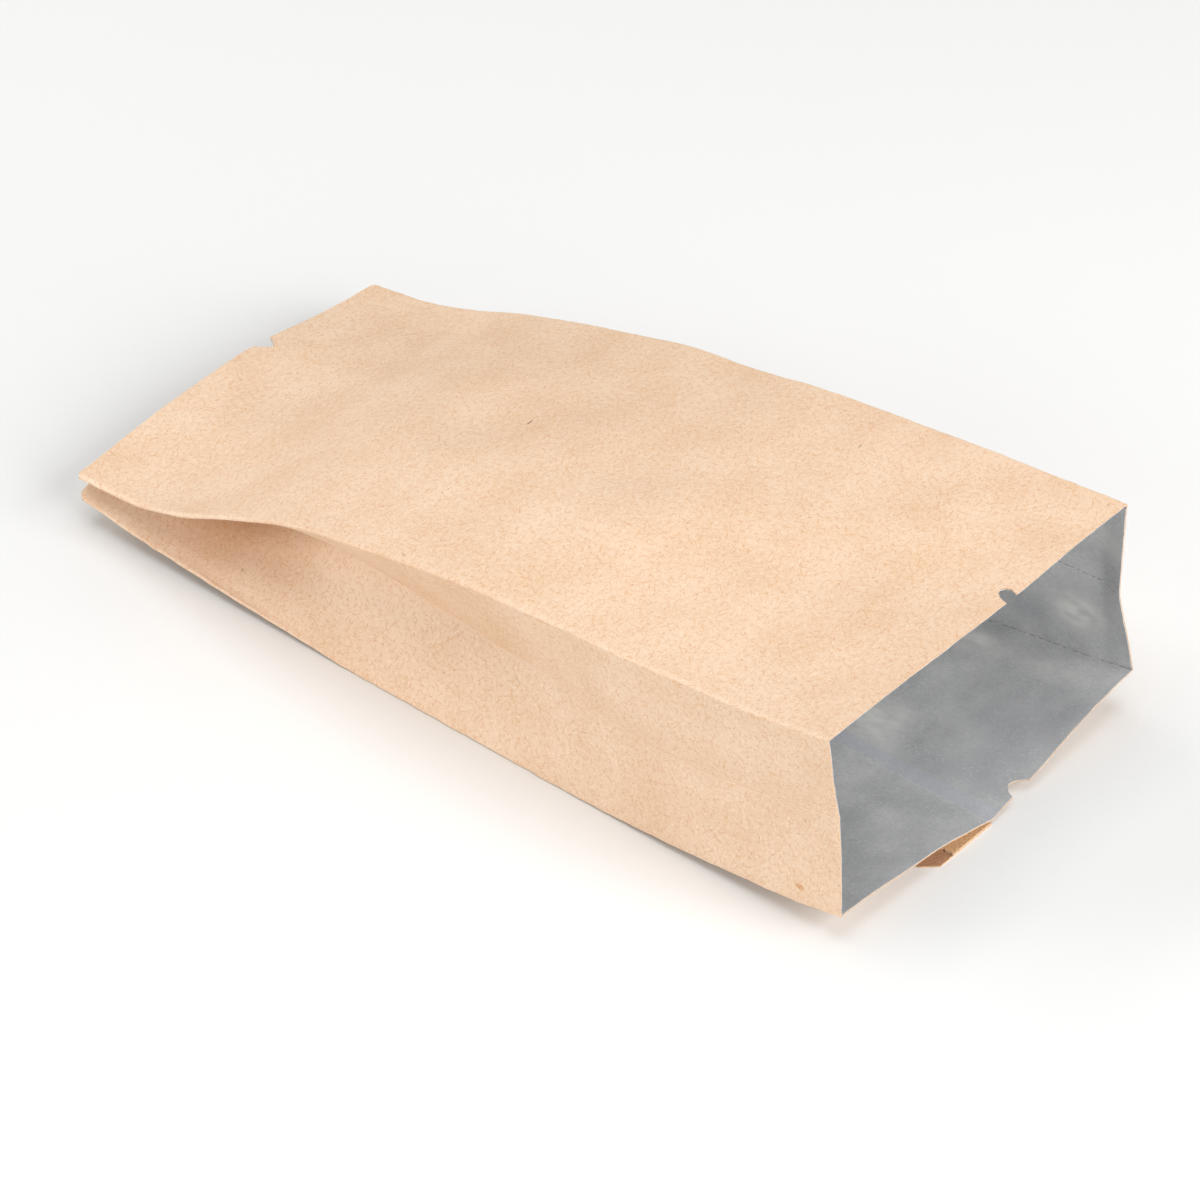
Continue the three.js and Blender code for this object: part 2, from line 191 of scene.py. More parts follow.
@dataclass
class BagForm:
    """The outer faces of the opened bag, from the same driving sizes as the solids."""

    panel_width: float = 85.0
    gusset_width: dict[Side, float] = per_side(39.6, 38.6)
    bag_length: float = 195.0
    seal_length: float = 10.0
    double: float = 0.94  # two layers of laminate pressed flat
    lying_length: float = 194.6
    mouth_setback: float = 3.2
    mouth_bow: float = 0.6
    bow_length: float = 60.0
    bow_curve: float = 2.0
    least_crease: float = 1.2
    lift_start: float = 118.0
    closing_ease: float = 0.6
    back_curve: dict[Side, float] = per_side(1.5, 1.2)
    top_fold: dict[Side, Profile] = per_side(
        Profile(
            (0, 46.2), (13, 43.9), (30, 42.1), (60, 39.7), (80, 38.1), (118, 32.3),
            (134, 28.5), (150, 22.5), (166, 16.0), (182, 12.4), (195, 12.0),
        ),
        Profile(
            (0, 46.4), (27, 44.0), (60, 40.5), (100, 34.7), (134, 27.1), (150, 22.4),
            (166, 16.8), (182, 12.3), (195, 10.7),
        ),
    )
    back_fold: dict[Side, Profile] = per_side(
        Profile(
            (0, 6.7), (13, 4.2), (27, 2.5), (43, 1.1), (60, 0.2), (75, 0), (118, 0),
            (134, 0.8), (166, 2.6), (182, 4.1), (195, 6.2),
        ),
        Profile(
            (0, 8.3), (13, 6.1), (27, 4.2), (43, 2.3), (60, 0.9), (80, 0), (118, 0),
            (134, 1.1), (166, 3.1), (182, 4.3), (195, 5.4),
        ),
    )
    crease_raise: dict[Side, Profile] = per_side(
        Profile(
            (0, 1.2), (20, 0.8), (45, 0.3), (62, 0.9), (76, 0.2), (92, -1.7), (104, -1.4),
            (116, -0.2), (126, 0.2), (140, 0.0), (195, 0.0),
        ),
        Profile((0, 0.7), (15, 1.7), (60, 1.0), (120, 0.0), (195, 0.0)),
    )
    crease_deepen: dict[Side, Profile] = per_side(
        Profile(
            (0, 0.2), (30, 0.2), (48, 0.5), (60, 1.3), (75, 1.7), (95, 1.7), (112, 0.8),
            (130, 0.0), (195, 0.0),
        ),
        Profile((0, 0.0), (60, 0.5), (90, 0.6), (130, 0.0), (195, 0.0)),
    )
    crease_lead_in: dict[Side, Profile] = per_side(
        Profile((0, 0.0), (195, 0.0)),
        Profile((0, 0.0), (20, 0.0), (50, 30.0), (195, 30.0)),
    )
    lower_hollow: Profile = Profile(
        (0, 0.0), (80, 0.0), (100, 0.4), (116, 0.9), (132, 1.0), (148, 0.3), (160, 0.0), (195, 0.0)
    )
    crown_height: float = 3.15
    crown_y: float = -2.0
    crown_spread: float = 28.0
    crown_run: tuple[float, float] = (120.0, 190.0)
    ridge_height: float = 3.0
    ridge_y: float = -10.5
    ridge_round: float = 0.16
    ridge_run: tuple[float, float, float, float] = (30.0, 75.0, 135.0, 168.0)
    dip_depth: float = 1.3
    dip_y: float = 5.0
    dip_spread: float = 15.0
    dip_length: float = 45.0
    seam_lift: float = 0.85
    fin_reach: float = 11.6
    over_fin_near: float = 30.16
    over_fin_far: float = 16.0
    droop_power: float = 1.3
    gusset_blend: float = 4.0
    run_samples: int = 400

    def __post_init__(self) -> None:
        """Work out how far along X the paper has run at each distance from the mouth."""
        self.half_width = self.panel_width / 2
        self.bend_radius = self.double / 2
        self.seal_start = self.bag_length - self.seal_length
        half_length = self.lying_length / 2
        self._top_run = self._run(self.top_fold, half_length - self.mouth_setback, -half_length)
        self._seam_run = self._run(self.back_fold, half_length, -half_length)

    def _run(self, folds: dict[Side, Profile], start: float, end: float) -> tuple[Array, Array]:
        """Tabulate X along the bag against distance along the paper.

        Args:
            folds: The panel's long folds, whose heights say how steeply the paper runs.
            start: X at the mouth.
            end: X at the sealed end.

        Returns:
            Distances along the paper, and X at each.
        """
        s = np.linspace(0.0, self.bag_length, self.run_samples)
        height = self.between(folds, 0.0, s)
        run = np.concatenate([[0.0], np.cumsum(np.sqrt(np.diff(s) ** 2 - np.diff(height) ** 2))])
        return s, lerp(start, end, run / run[-1])

    def between(self, folds: dict[Side, Profile], y: Array | float, s: Array | float) -> Array:
        """Go straight across a panel from its near fold's height to its far fold's."""
        part = (y + self.half_width) / self.panel_width
        return lerp(folds[Side.NEAR](s), folds[Side.FAR](s), part)

    def by_side(self, folds: dict[Side, Profile], y: Array, s: Array) -> Array:
        """Read the height of the fold on the same side of the bag as y."""
        return np.where(y < 0, folds[Side.NEAR](s), folds[Side.FAR](s))

    def closing(self, s: Array) -> Array:
        """0 where the back panel lies on the table, 1 where it is sealed to the top panel."""
        t = np.clip((s - self.lift_start) / (self.seal_start - self.lift_start), 0.0, 1.0)
        return t**3 * (1.0 + self.closing_ease * (1.0 - t * t))

    def rise(self, y: Array, curve: Array | float) -> Array:
        """0 at the seam, 1 at the folds: straight for a curve of 1, steeper first for more."""
        return 1.0 - np.clip(1.0 - np.abs(y) / self.half_width, 0.0, 1.0) ** curve

    def top_x(self, s: Array) -> Array:
        """X along the top panel for a distance from its mouth edge."""
        return np.interp(s, *self._top_run)

    def seam_x(self, s: Array) -> Array:
        """X along the seam for a distance from its mouth end."""
        return np.interp(s, *self._seam_run)

    def back_x(self, y: Array | float, s: Array) -> Array:
        """X along the back panel, whose mouth edge bows out a little at the seam."""
        bow = self.mouth_bow * (1.0 - ramp(s, 0.0, self.bow_length))
        return self.seam_x(s) - bow * self.rise(y, self.bow_curve)

    def top_height(self, y: Array, s: Array) -> Array:
        """Height of the top panel's outer face.

        Args:
            y: Places across the bag.
            s: Distances from the mouth.

        Returns:
            The heights.
        """
        crown = self.crown_height * bell(y, self.crown_y, self.crown_spread, 3.0)
        dip = self.dip_depth * bell(y, self.dip_y, self.dip_spread)
        begin, full, fade, end = self.ridge_run
        along = ramp(s, begin, full) * (1.0 - ramp(s, fade, end))
        return (
            self.between(self.top_fold, y, s)
            + crown * ramp(s, *self.crown_run)
            + self.ridge_height * self.roof(y) * along
            - dip * (1.0 - ramp(s, 0.0, self.dip_length))
        )

    def roof(self, y: Array) -> Array:
        """Draw a low roof across the top panel.

        Args:
            y: Places across the bag.

        Returns:
            1 at the rounded ridge, 0 at both folds.
        """
        near, far = self.ridge_y + self.half_width, self.half_width - self.ridge_y
        away = np.where(y < self.ridge_y, (self.ridge_y - y) / near, (y - self.ridge_y) / far)
        away = np.clip(away, 0.0, 1.0)
        foot = math.hypot(1.0, self.ridge_round)
        return (foot - np.hypot(away, self.ridge_round)) / (foot - self.ridge_round)

    def sealed_height(self, y: Array, s: Array) -> Array:
        """Height of the back panel in the seal, drooping to its folds beyond the creases.

        Args:
            y: Places across the bag.
            s: Distances from the mouth.

        Returns:
            The heights.
        """
        crease_y = self.half_width - self.gusset_width[Side.NEAR] / 2
        apart = self.by_side(self.top_fold, y, s) - self.by_side(self.back_fold, y, s)
        out = np.clip((np.abs(y) - crease_y) / (self.half_width - crease_y), 0.0, 1.0)
        gusset_layers = self.double * ramp(np.abs(y), crease_y - self.gusset_blend, crease_y)
        droop = (apart - 2.0 * self.double) * out**self.droop_power
        return self.top_height(y, s) - self.double - gusset_layers - droop

    def back_base(self, y: Array, s: Array) -> Array:
        """Height of the back panel without the seam's thickness under it.

        Args:
            y: Places across the bag.
            s: Distances from the mouth.

        Returns:
            The heights.
        """
        curve = np.where(y < 0, self.back_curve[Side.NEAR], self.back_curve[Side.FAR])
        resting = self.rise(y, curve) * self.by_side(self.back_fold, y, s)
        straight = self.between(self.back_fold, y, s)
        rising = lerp(straight, self.sealed_height(y, s), self.closing(s))
        return np.where(s < self.lift_start, resting, rising)

    def back_height(self, y: Array, s: Array) -> Array:
        """Height of the back panel's outer face, which passes over the folded fin.

        Args:
            y: Places across the bag.
            s: Distances from the mouth.

        Returns:
            The heights.
        """
        near = 1.0 - ramp(-y, self.fin_reach, self.over_fin_near)
        far = 1.0 - ramp(y, 0.0, self.over_fin_far)
        over_fin = np.where(y < 0, near, far)
        return self.back_base(y, s) + self.seam_lift * over_fin * (1.0 - self.closing(s))

    def fin_base(self, y: Array, s: Array) -> Array:
        """Height of the fin's underside: the table, then under the rising panel."""
        return np.where(
            s < self.lift_start, 0.0, self.back_base(y, s) - self.seam_lift * self.closing(s)
        )

    def crease(self, side: Side, s: Array) -> tuple[Array, Array]:
        """Place a gusset's inward crease, half the gusset's paper away from both folds.

        Args:
            side: The gusset.
            s: Distances from the mouth.

        Returns:
            The crease's Y and Z.
        """
        top, back = self.top_fold[side](s), self.back_fold[side](s)
        apart = np.hypot(top - back, self.top_x(s) - self.back_x(self.half_width, s))
        spare = (self.gusset_width[side] / 2) ** 2 - (apart / 2) ** 2
        spare = (spare + np.hypot(spare, self.crease_lead_in[side](s))) / 2
        depth = np.sqrt(spare + self.least_crease**2)
        y = side.value * (self.half_width - depth - self.crease_deepen[side](s))
        pressed = (self.top_height(y, s) + self.back_height(y, s)) / 2
        return y, lerp((top + back) / 2, pressed, self.closing(s)) + self.crease_raise[side](s)


# ---- Sections, sampled finely ----


@dataclass
class Laminate:
    """The tube of laminate as rings of points, with the step inward at each.

    A ring runs the way the solids' sections do: top panel from near to far, far gusset, back
    panel from far to near, near gusset.
    """

    form: BagForm
    panel_points: int = 76
    gusset_points: int = 17
    bend_points: int = 7
    stations: int = 152
    edge_stations: tuple[float, ...] = (0.35, 1.0)
    bend_arc: float = 1.2  # millimetres of paper in a fold's bend
    gusset_run: tuple[float, float] = (0.05, 0.95)
    crease_samples: tuple[float, ...] = (0.982, 1.0)
    bend_margin: float = 0.4
    least_share: float = 0.62  # keeps the mitre at a sharp crease short

    def __post_init__(self) -> None:
        """Sample the outer face and the sheet's own coordinates."""
        self.s = self._station_list()
        self.outer, self.round_the_tube = self._rings()
        self.inward = self._inward_steps()

    def _station_list(self) -> Array:
        """Space the stations evenly, with a few more at both cut edges."""
        length = self.form.bag_length
        edge = np.array(self.edge_stations)
        even = np.linspace(0.0, length, self.stations)
        return np.unique(np.concatenate([even, edge, length - edge]).round(4))

    def _bend(self, y: float, x: Array, z: Array, angles: tuple[Array, Array]) -> Array:
        """Sample a fold's bend.

        Args:
            y: The bend's centre across the bag.
            x: Its place along the bag, for each station.
            z: Its centre's height, for each station.
            angles: The outward normal's angle before and after the bend.

        Returns:
            Points, stations by points by three.
        """
        turn = np.mod(angles[1] - angles[0], -math.tau)
        parts = np.linspace(0.0, 1.0, self.bend_points)
        angle = angles[0][:, None] + turn[:, None] * parts
        radius = self.form.bend_radius
        across, up = y + radius * np.cos(angle), z[:, None] + radius * np.sin(angle)
        return np.stack([x[:, None] + 0 * angle, across, up], axis=-1)

    def _half_gusset(self, side: Side, is_upper: bool) -> Array:
        """Sample half a gusset from just inside its fold to its crease.

        Args:
            side: The gusset.
            is_upper: The half under the top panel, not the one over the back panel.

        Returns:
            Points from near the fold to the crease, stations by points by three.
        """
        form, s = self.form, self.s[:, None]
        height = form.top_height if is_upper else form.back_height
        inward = -1.0 if is_upper else 1.0
        fold_y = side.value * form.half_width
        fold_x = form.top_x(s) if is_upper else form.back_x(form.half_width, s)
        crease_x = (form.top_x(s) + form.back_x(form.half_width, s)) / 2
        crease_y, crease_z = form.crease(side, s)
        t = np.linspace(*self.gusset_run, self.gusset_points)
        t = np.concatenate([t, self.crease_samples])
        y = lerp(fold_y, crease_y, t)
        open_z = lerp(height(np.full_like(s, fold_y), s) + inward * form.bend_radius, crease_z, t)
        if not is_upper:
            open_z = open_z - form.lower_hollow(s) * arch(t)
        pressed_z = np.where(t == 1.0, crease_z, height(y, s) + inward * form.double)
        z = lerp(open_z, pressed_z, form.closing(s))
        return np.stack([lerp(fold_x, crease_x, t), y, z], axis=-1)

    def _panel(self, is_top: bool) -> Array:
        """Sample a panel from its near fold to its far one, without the bends.

        Args:
            is_top: The top panel, not the back one.

        Returns:
            Points, stations by points by three.
        """
        form, s = self.form, self.s[:, None]
        reach = form.half_width - form.bend_radius - self.bend_margin
        y = np.linspace(-reach, reach, self.panel_points)[None, :]
        if is_top:
            x, z = form.top_x(s) + 0 * y, form.top_height(y, s)
        else:
            x, z = form.back_x(y, s), form.back_height(y, s)
        return np.stack(np.broadcast_arrays(x, y, z), axis=-1)

    def _rings(self) -> tuple[Array, Array]:
        """Join panels, bends and gussets into closed rings.

        Returns:
            The points, stations by ring by three, and the distance round the sheet at each
            point of a ring, with one more entry that closes the ring.
        """
        form = self.form
        top, back = self._panel(True), self._panel(False)[:, ::-1]
        upper = {side: self._half_gusset(side, True) for side in Side}
        lower = {side: self._half_gusset(side, False) for side in Side}
        far = np.concatenate([upper[Side.FAR], lower[Side.FAR][:, -2::-1]], axis=1)
        near = np.concatenate([lower[Side.NEAR], upper[Side.NEAR][:, -2::-1]], axis=1)

        def facing(before: Array, after: Array) -> Array:
            """Angle of the outward normal of the step between two points."""
            step = after - before
            return np.arctan2(step[:, 2], step[:, 1]) + math.pi / 2

        angle = {
            name: (facing(part[:, 0], part[:, 1]), facing(part[:, -2], part[:, -1]))
            for name, part in {"top": top, "far": far, "back": back, "near": near}.items()
        }
        centre = form.half_width - form.bend_radius

        def bend(is_top: bool, sign: int, before: str, after: str) -> Array:
            """Sample the bend at one long fold.

            Args:
                is_top: The fold is the top panel's, not the back one's.
                sign: -1 on the near side, 1 on the far side.
                before: The part of the ring that runs into the bend.
                after: The part that runs out of it.

            Returns:
                Points, stations by points by three.
            """
            y = np.full_like(self.s, sign * centre)
            height = form.top_height if is_top else form.back_height
            z = height(y, self.s) + (-1 if is_top else 1) * form.bend_radius
            x = form.top_x(self.s) if is_top else form.back_x(y, self.s)
            return self._bend(sign * centre, x, z, (angle[before][1], angle[after][0]))

        parts = [
            top, bend(True, 1, "top", "far"), far, bend(False, 1, "far", "back"),
            back, bend(False, -1, "back", "near"), near, bend(True, -1, "near", "top"),
        ]
        ring = np.concatenate(parts, axis=1)
        return ring, self._distance_round([part.shape[1] for part in parts])

    def _distance_round(self, counts: list[int]) -> Array:
        """Give each point of a ring its distance round the flat sheet.

        Args:
            counts: How many points each part of a ring has, in order.

        Returns:
            Distances in millimetres from the near top fold.
        """
        form = self.form
        widths = [form.panel_width, form.gusset_width[Side.FAR], form.panel_width,
                  form.gusset_width[Side.NEAR]]
        distances, start = [], 0.0
        for i, count in enumerate(counts):
            width = self.bend_arc if i % 2 else widths[i // 2] - self.bend_arc
            distances.append(start + width * (np.arange(count) + 0.5) / count)
            start += width
        return np.append(np.concatenate(distances), start)

    def _inward_steps(self) -> Array:
        """Work out the step inward for one millimetre of depth, mitred at the bends.

        Returns:
            A vector for each point of the rings.
        """
        after = np.roll(self.outer, -1, axis=1) - self.outer
        before = np.roll(after, 1, axis=1)

        def square(step: Array) -> Array:
            """Unit step to the inside, square to a step along the ring."""
            turned = np.stack([0 * step[..., 0], step[..., 2], -step[..., 1]], axis=-1)
            return turned / np.linalg.norm(turned, axis=-1, keepdims=True)

        total = square(before) + square(after)
        share = (total**2).sum(-1, keepdims=True) / 2
        return total / np.maximum(share, self.least_share)


# ---- Handling: what makes real paper uneven ----


@dataclass(frozen=True)
class SheetCrease:
    """A soft crease or dent in the sheet, along a line in the sheet's own coordinates."""

    start: tuple[float, float]
    end: tuple[float, float]
    depth: float
    width: float

    def __call__(self, u: Array, s: Array) -> Array:
        """Give the depth of the crease at places on the sheet.

        Args:
            u: Distances round the sheet.
            s: Distances along it.

        Returns:
            How far the paper is pushed inward, in millimetres.
        """
        a, b = np.array(self.start), np.array(self.end)
        along = b - a
        t = np.clip(((u - a[0]) * along[0] + (s - a[1]) * along[1]) / (along @ along), 0.0, 1.0)
        distance = np.hypot(u - a[0] - t * along[0], s - a[1] - t * along[1])
        return self.depth * np.sqrt(arch(t)) * bell(distance, 0.0, self.width)


@dataclass
class Handling:
    """The unevenness of a bag that was folded, opened by hand and laid down."""

    laminate: Laminate
    sway: tuple[Ripple, Ripple, Ripple] = (
        Ripple(0.10, 22.0, 60.0, 11),
        Ripple(0.16, 18.0, 50.0, 12),
        Ripple(0.20, 20.0, 55.0, 13),
    )
    ruffle: Ripple = Ripple(0.035, 5.0, 13.0, 14)
    fold_wobble: Ripple = Ripple(0.06, 2.2, 7.0, 15)
    edge_wobble: Ripple = Ripple(0.05, 1.6, 6.0, 16)
    off_floor: tuple[float, float] = (0.6, 6.0)
    off_fold: tuple[float, float] = (0.8, 5.0)
    fold_reach: float = 2.0
    edge_reach: float = 4.0
    lowest: float = 0.01

    def __post_init__(self) -> None:
        """Work out the sheet's relief once, as every layer shares it."""
        self.relief = self._relief()

    def creases(self) -> list[SheetCrease]:
        """List the soft creases that the photo shows or hints at."""
        form = self.laminate.form
        far_fold = form.panel_width
        far_crease = far_fold + form.gusset_width[Side.FAR] / 2
        near_fold = 2 * form.panel_width + form.gusset_width[Side.FAR]
        near_crease = near_fold + form.gusset_width[Side.NEAR] / 2
        seam = far_fold + form.gusset_width[Side.FAR] + form.half_width
        return [
            SheetCrease((far_crease + 2.6, -2.0), (far_crease + 1.6, 60.0), 0.10, 0.7),
            SheetCrease((near_crease - 7.0, 96.0), (near_crease - 1.0, 128.0), 0.16, 2.2),
            SheetCrease((near_crease + 8.0, 104.0), (near_crease + 3.0, 150.0), -0.12, 2.6),
            SheetCrease((near_crease - 9.0, 120.0), (near_crease - 4.0, 160.0), 0.12, 2.0),
            SheetCrease((far_crease - 8.0, 100.0), (far_crease - 2.0, 140.0), 0.14, 2.4),
            SheetCrease((22.0, 138.0), (46.0, 116.0), 0.22, 7.0),
            SheetCrease((52.0, 170.0), (58.0, 128.0), -0.16, 6.0),
            SheetCrease((14.0, 150.0), (10.0, 108.0), -0.14, 4.5),
            SheetCrease((seam + 1.4, 0.0), (seam + 1.4, 150.0), 0.10, 0.5),
            SheetCrease((seam - 1.4, 0.0), (seam - 1.4, 150.0), 0.08, 0.5),
        ]

    def _relief(self) -> Array:
        """Add up creases and ruffles over the sheet, fading where layers lie pressed."""
        laminate = self.laminate
        u, s = np.meshgrid(laminate.round_the_tube[:-1], laminate.s)
        total = sum(crease(u, s) for crease in self.creases())
        total = total + self.ruffle(np.stack([u, s], axis=-1))
        loose = 1.0 - laminate.form.closing(s)
        from_fold = np.min([np.abs(u - fold) for fold in self.fold_distances()], axis=0)
        return total * loose * ramp(from_fold, *self.off_fold)

    def fold_distances(self) -> list[float]:
        """Distances round the sheet of the four long folds, the first also as the last."""
        form = self.laminate.form
        steps = [0.0, form.panel_width, form.gusset_width[Side.FAR], form.panel_width,
                 form.gusset_width[Side.NEAR]]
        return list(np.cumsum(steps))

    def __call__(self, points: Array, s: Array) -> Array:
        """Move points of a layer as the whole bag has been handled.

        Args:
            points: Places in millimetres, stations by points by three.
            s: Distance from the mouth of each station.

        Returns:
            The moved places.
        """
        moved = points.copy()
        off_floor = ramp(points[..., 2], *self.off_floor)
        for axis, sway in enumerate(self.sway):
            moved[..., axis] += sway(points) * off_floor
        half, length = self.laminate.form.half_width, self.laminate.form.bag_length
        at_fold = ramp(np.abs(points[..., 1]), half - self.fold_reach, half)
        moved[..., 1] += self.fold_wobble(points) * at_fold
        at_edge = bell(s, 0.0, self.edge_reach) + bell(s, length, self.edge_reach)
        moved[..., 0] += self.edge_wobble(points) * at_edge[:, None]
        moved[..., 2] = np.maximum(moved[..., 2], self.lowest)
        return moved

    def layer(self, depth: float) -> Array:
        """Give the handled tube at a depth below its outer face.

        Args:
            depth: Millimetres inward from the outer face.

        Returns:
            Points, stations by ring by three.
        """
        laminate = self.laminate
        steps = depth + self.relief[..., None]
        return self(laminate.outer + steps * laminate.inward, laminate.s)


# ---- Meshes ----


@dataclass
class MeshPlan:
    """Vertices, faces, finishes and sheet coordinates, gathered before a mesh is made."""

    points: list[Array] = field(default_factory=list)
    faces: list[tuple[int, ...]] = field(default_factory=list)
    finishes: list[int] = field(default_factory=list)
    corners: list[tuple[float, float]] = field(default_factory=list)
    count: int = 0

    def add_points(self, points: Array) -> Array:
        """Add points.

        Args:
            points: Places in millimetres, with the coordinates along the last axis.

        Returns:
            The index of each, in the points' own layout.
        """
        flat = points.reshape(-1, 3)
        index = self.count + np.arange(len(flat))
        self.points.append(flat)
        self.count += len(flat)
        return index.reshape(points.shape[:-1])

    def add_face(
        self, face: tuple[int, ...], finish: int, corners: list[tuple[float, float]]
    ) -> None:
        """Add one face with its finish and the sheet coordinates of its corners."""
        self.faces.append(tuple(int(i) for i in face))
        self.finishes.append(finish)
        self.corners.extend(corners)

    def add_grid(
        self, index: Array, u: Array, s: Array, finish: int, is_flipped: bool = False
    ) -> None:
        """Add the quads of a grid of points.

        Args:
            index: Point indices, rows by columns.
            u: Sheet coordinate across for each column.
            s: Sheet coordinate along for each row.
            finish: Index of the finish.
            is_flipped: Turn every face round.
        """
        rows, columns = index.shape
        for j in range(rows - 1):
            for i in range(columns - 1):
                face = [index[j, i], index[j, i + 1], index[j + 1, i + 1], index[j + 1, i]]
                places = [(u[i], s[j]), (u[i + 1], s[j]), (u[i + 1], s[j + 1]), (u[i], s[j + 1])]
                if is_flipped:
                    face.reverse()
                    places.reverse()
                self.add_face(tuple(face), finish, places)

    def add_cap(self, ring: Array, finish: int, sign: int) -> None:
        """Close a ring of points with triangles that face +X or -X.

        Args:
            ring: Point indices in order.
            finish: Index of the finish.
            sign: 1 to face +X, -1 to face -X.
        """
        flat = np.concatenate(self.points)[ring]
        outline = [Vector((y, z, 0.0)) for _, y, z in flat]
        for a, b, c in tessellate_polygon([outline]):
            first, second = outline[b] - outline[a], outline[c] - outline[a]
            area = first.x * second.y - first.y * second.x
            order = (a, b, c) if area * sign > 0 else (c, b, a)
            places = [(float(flat[i][1]), float(flat[i][2])) for i in order]
            self.add_face(tuple(ring[i] for i in order), finish, places)

    def build(self, name: str, materials: list[bpy.types.Material]) -> bpy.types.Object:
        """Make the Blender object, in metres.

        Args:
            name: Name of the piece.
            materials: Its finishes, in the order of the faces' numbers.

        Returns:
            The object, linked into the scene.
        """
        mesh = bpy.data.meshes.new(name)
        points = np.concatenate(self.points) * MM
        mesh.from_pydata(points.tolist(), [], self.faces)
        for material in materials:
            mesh.materials.append(material)
        mesh.polygons.foreach_set("material_index", self.finishes)
        sheet = mesh.uv_layers.new(name=SHEET_MAP)
        sheet.uv.foreach_set("vector", (np.array(self.corners, np.float32) / SHEET_SPAN).ravel())
        mesh.shade_smooth()
        piece = bpy.data.objects.new(name, mesh)
        bpy.context.scene.collection.objects.link(piece)
        return piece


def closed_ring(index: Array) -> Array:
    """Repeat the first point of each ring at its end."""
    return np.concatenate([index, index[..., :1]], axis=-1)


def apply_modifiers(piece: bpy.types.Object) -> None:
    """Turn a piece's modifiers into mesh."""
    evaluated = piece.evaluated_get(bpy.context.evaluated_depsgraph_get())
    mesh = bpy.data.meshes.new_from_object(evaluated)
    mesh.name = piece.name
    piece.modifiers.clear()
    piece.data = mesh


# ---- Shader maths ----


Operand: TypeAlias = "Wire | float"
Tint: TypeAlias = "Wire | Colour"
Settings: TypeAlias = dict[str, object]
Inputs: TypeAlias = dict[str | int, object]


class Wire:
    """A shader socket that takes part in arithmetic: each operator adds one Math node."""

    def __init__(self, graph: "Graph", socket: bpy.types.NodeSocket) -> None:
        """Keep the socket and the graph it belongs to."""
        self.graph = graph
        self.socket = socket

    def __add__(self, other: Operand) -> "Wire":
        """Self plus other."""
        return self.graph.math("ADD", self, other)

    def __radd__(self, other: Operand) -> "Wire":
        """Other plus self."""
        return self.graph.math("ADD", other, self)

    def __sub__(self, other: Operand) -> "Wire":
        """Self minus other."""
        return self.graph.math("SUBTRACT", self, other)

    def __rsub__(self, other: Operand) -> "Wire":
        """Other minus self."""
        return self.graph.math("SUBTRACT", other, self)

    def __mul__(self, other: Operand) -> "Wire":
        """Self times other."""
        return self.graph.math("MULTIPLY", self, other)

    def __rmul__(self, other: Operand) -> "Wire":
        """Other times self."""
        return self.graph.math("MULTIPLY", other, self)

    def __abs__(self) -> "Wire":
        """Self without its sign."""
        return self.graph.math("ABSOLUTE", self)

    def __lt__(self, other: Operand) -> "Wire":
        """1 where self is less than other, 0 elsewhere."""
        return self.graph.math("LESS_THAN", self, other)


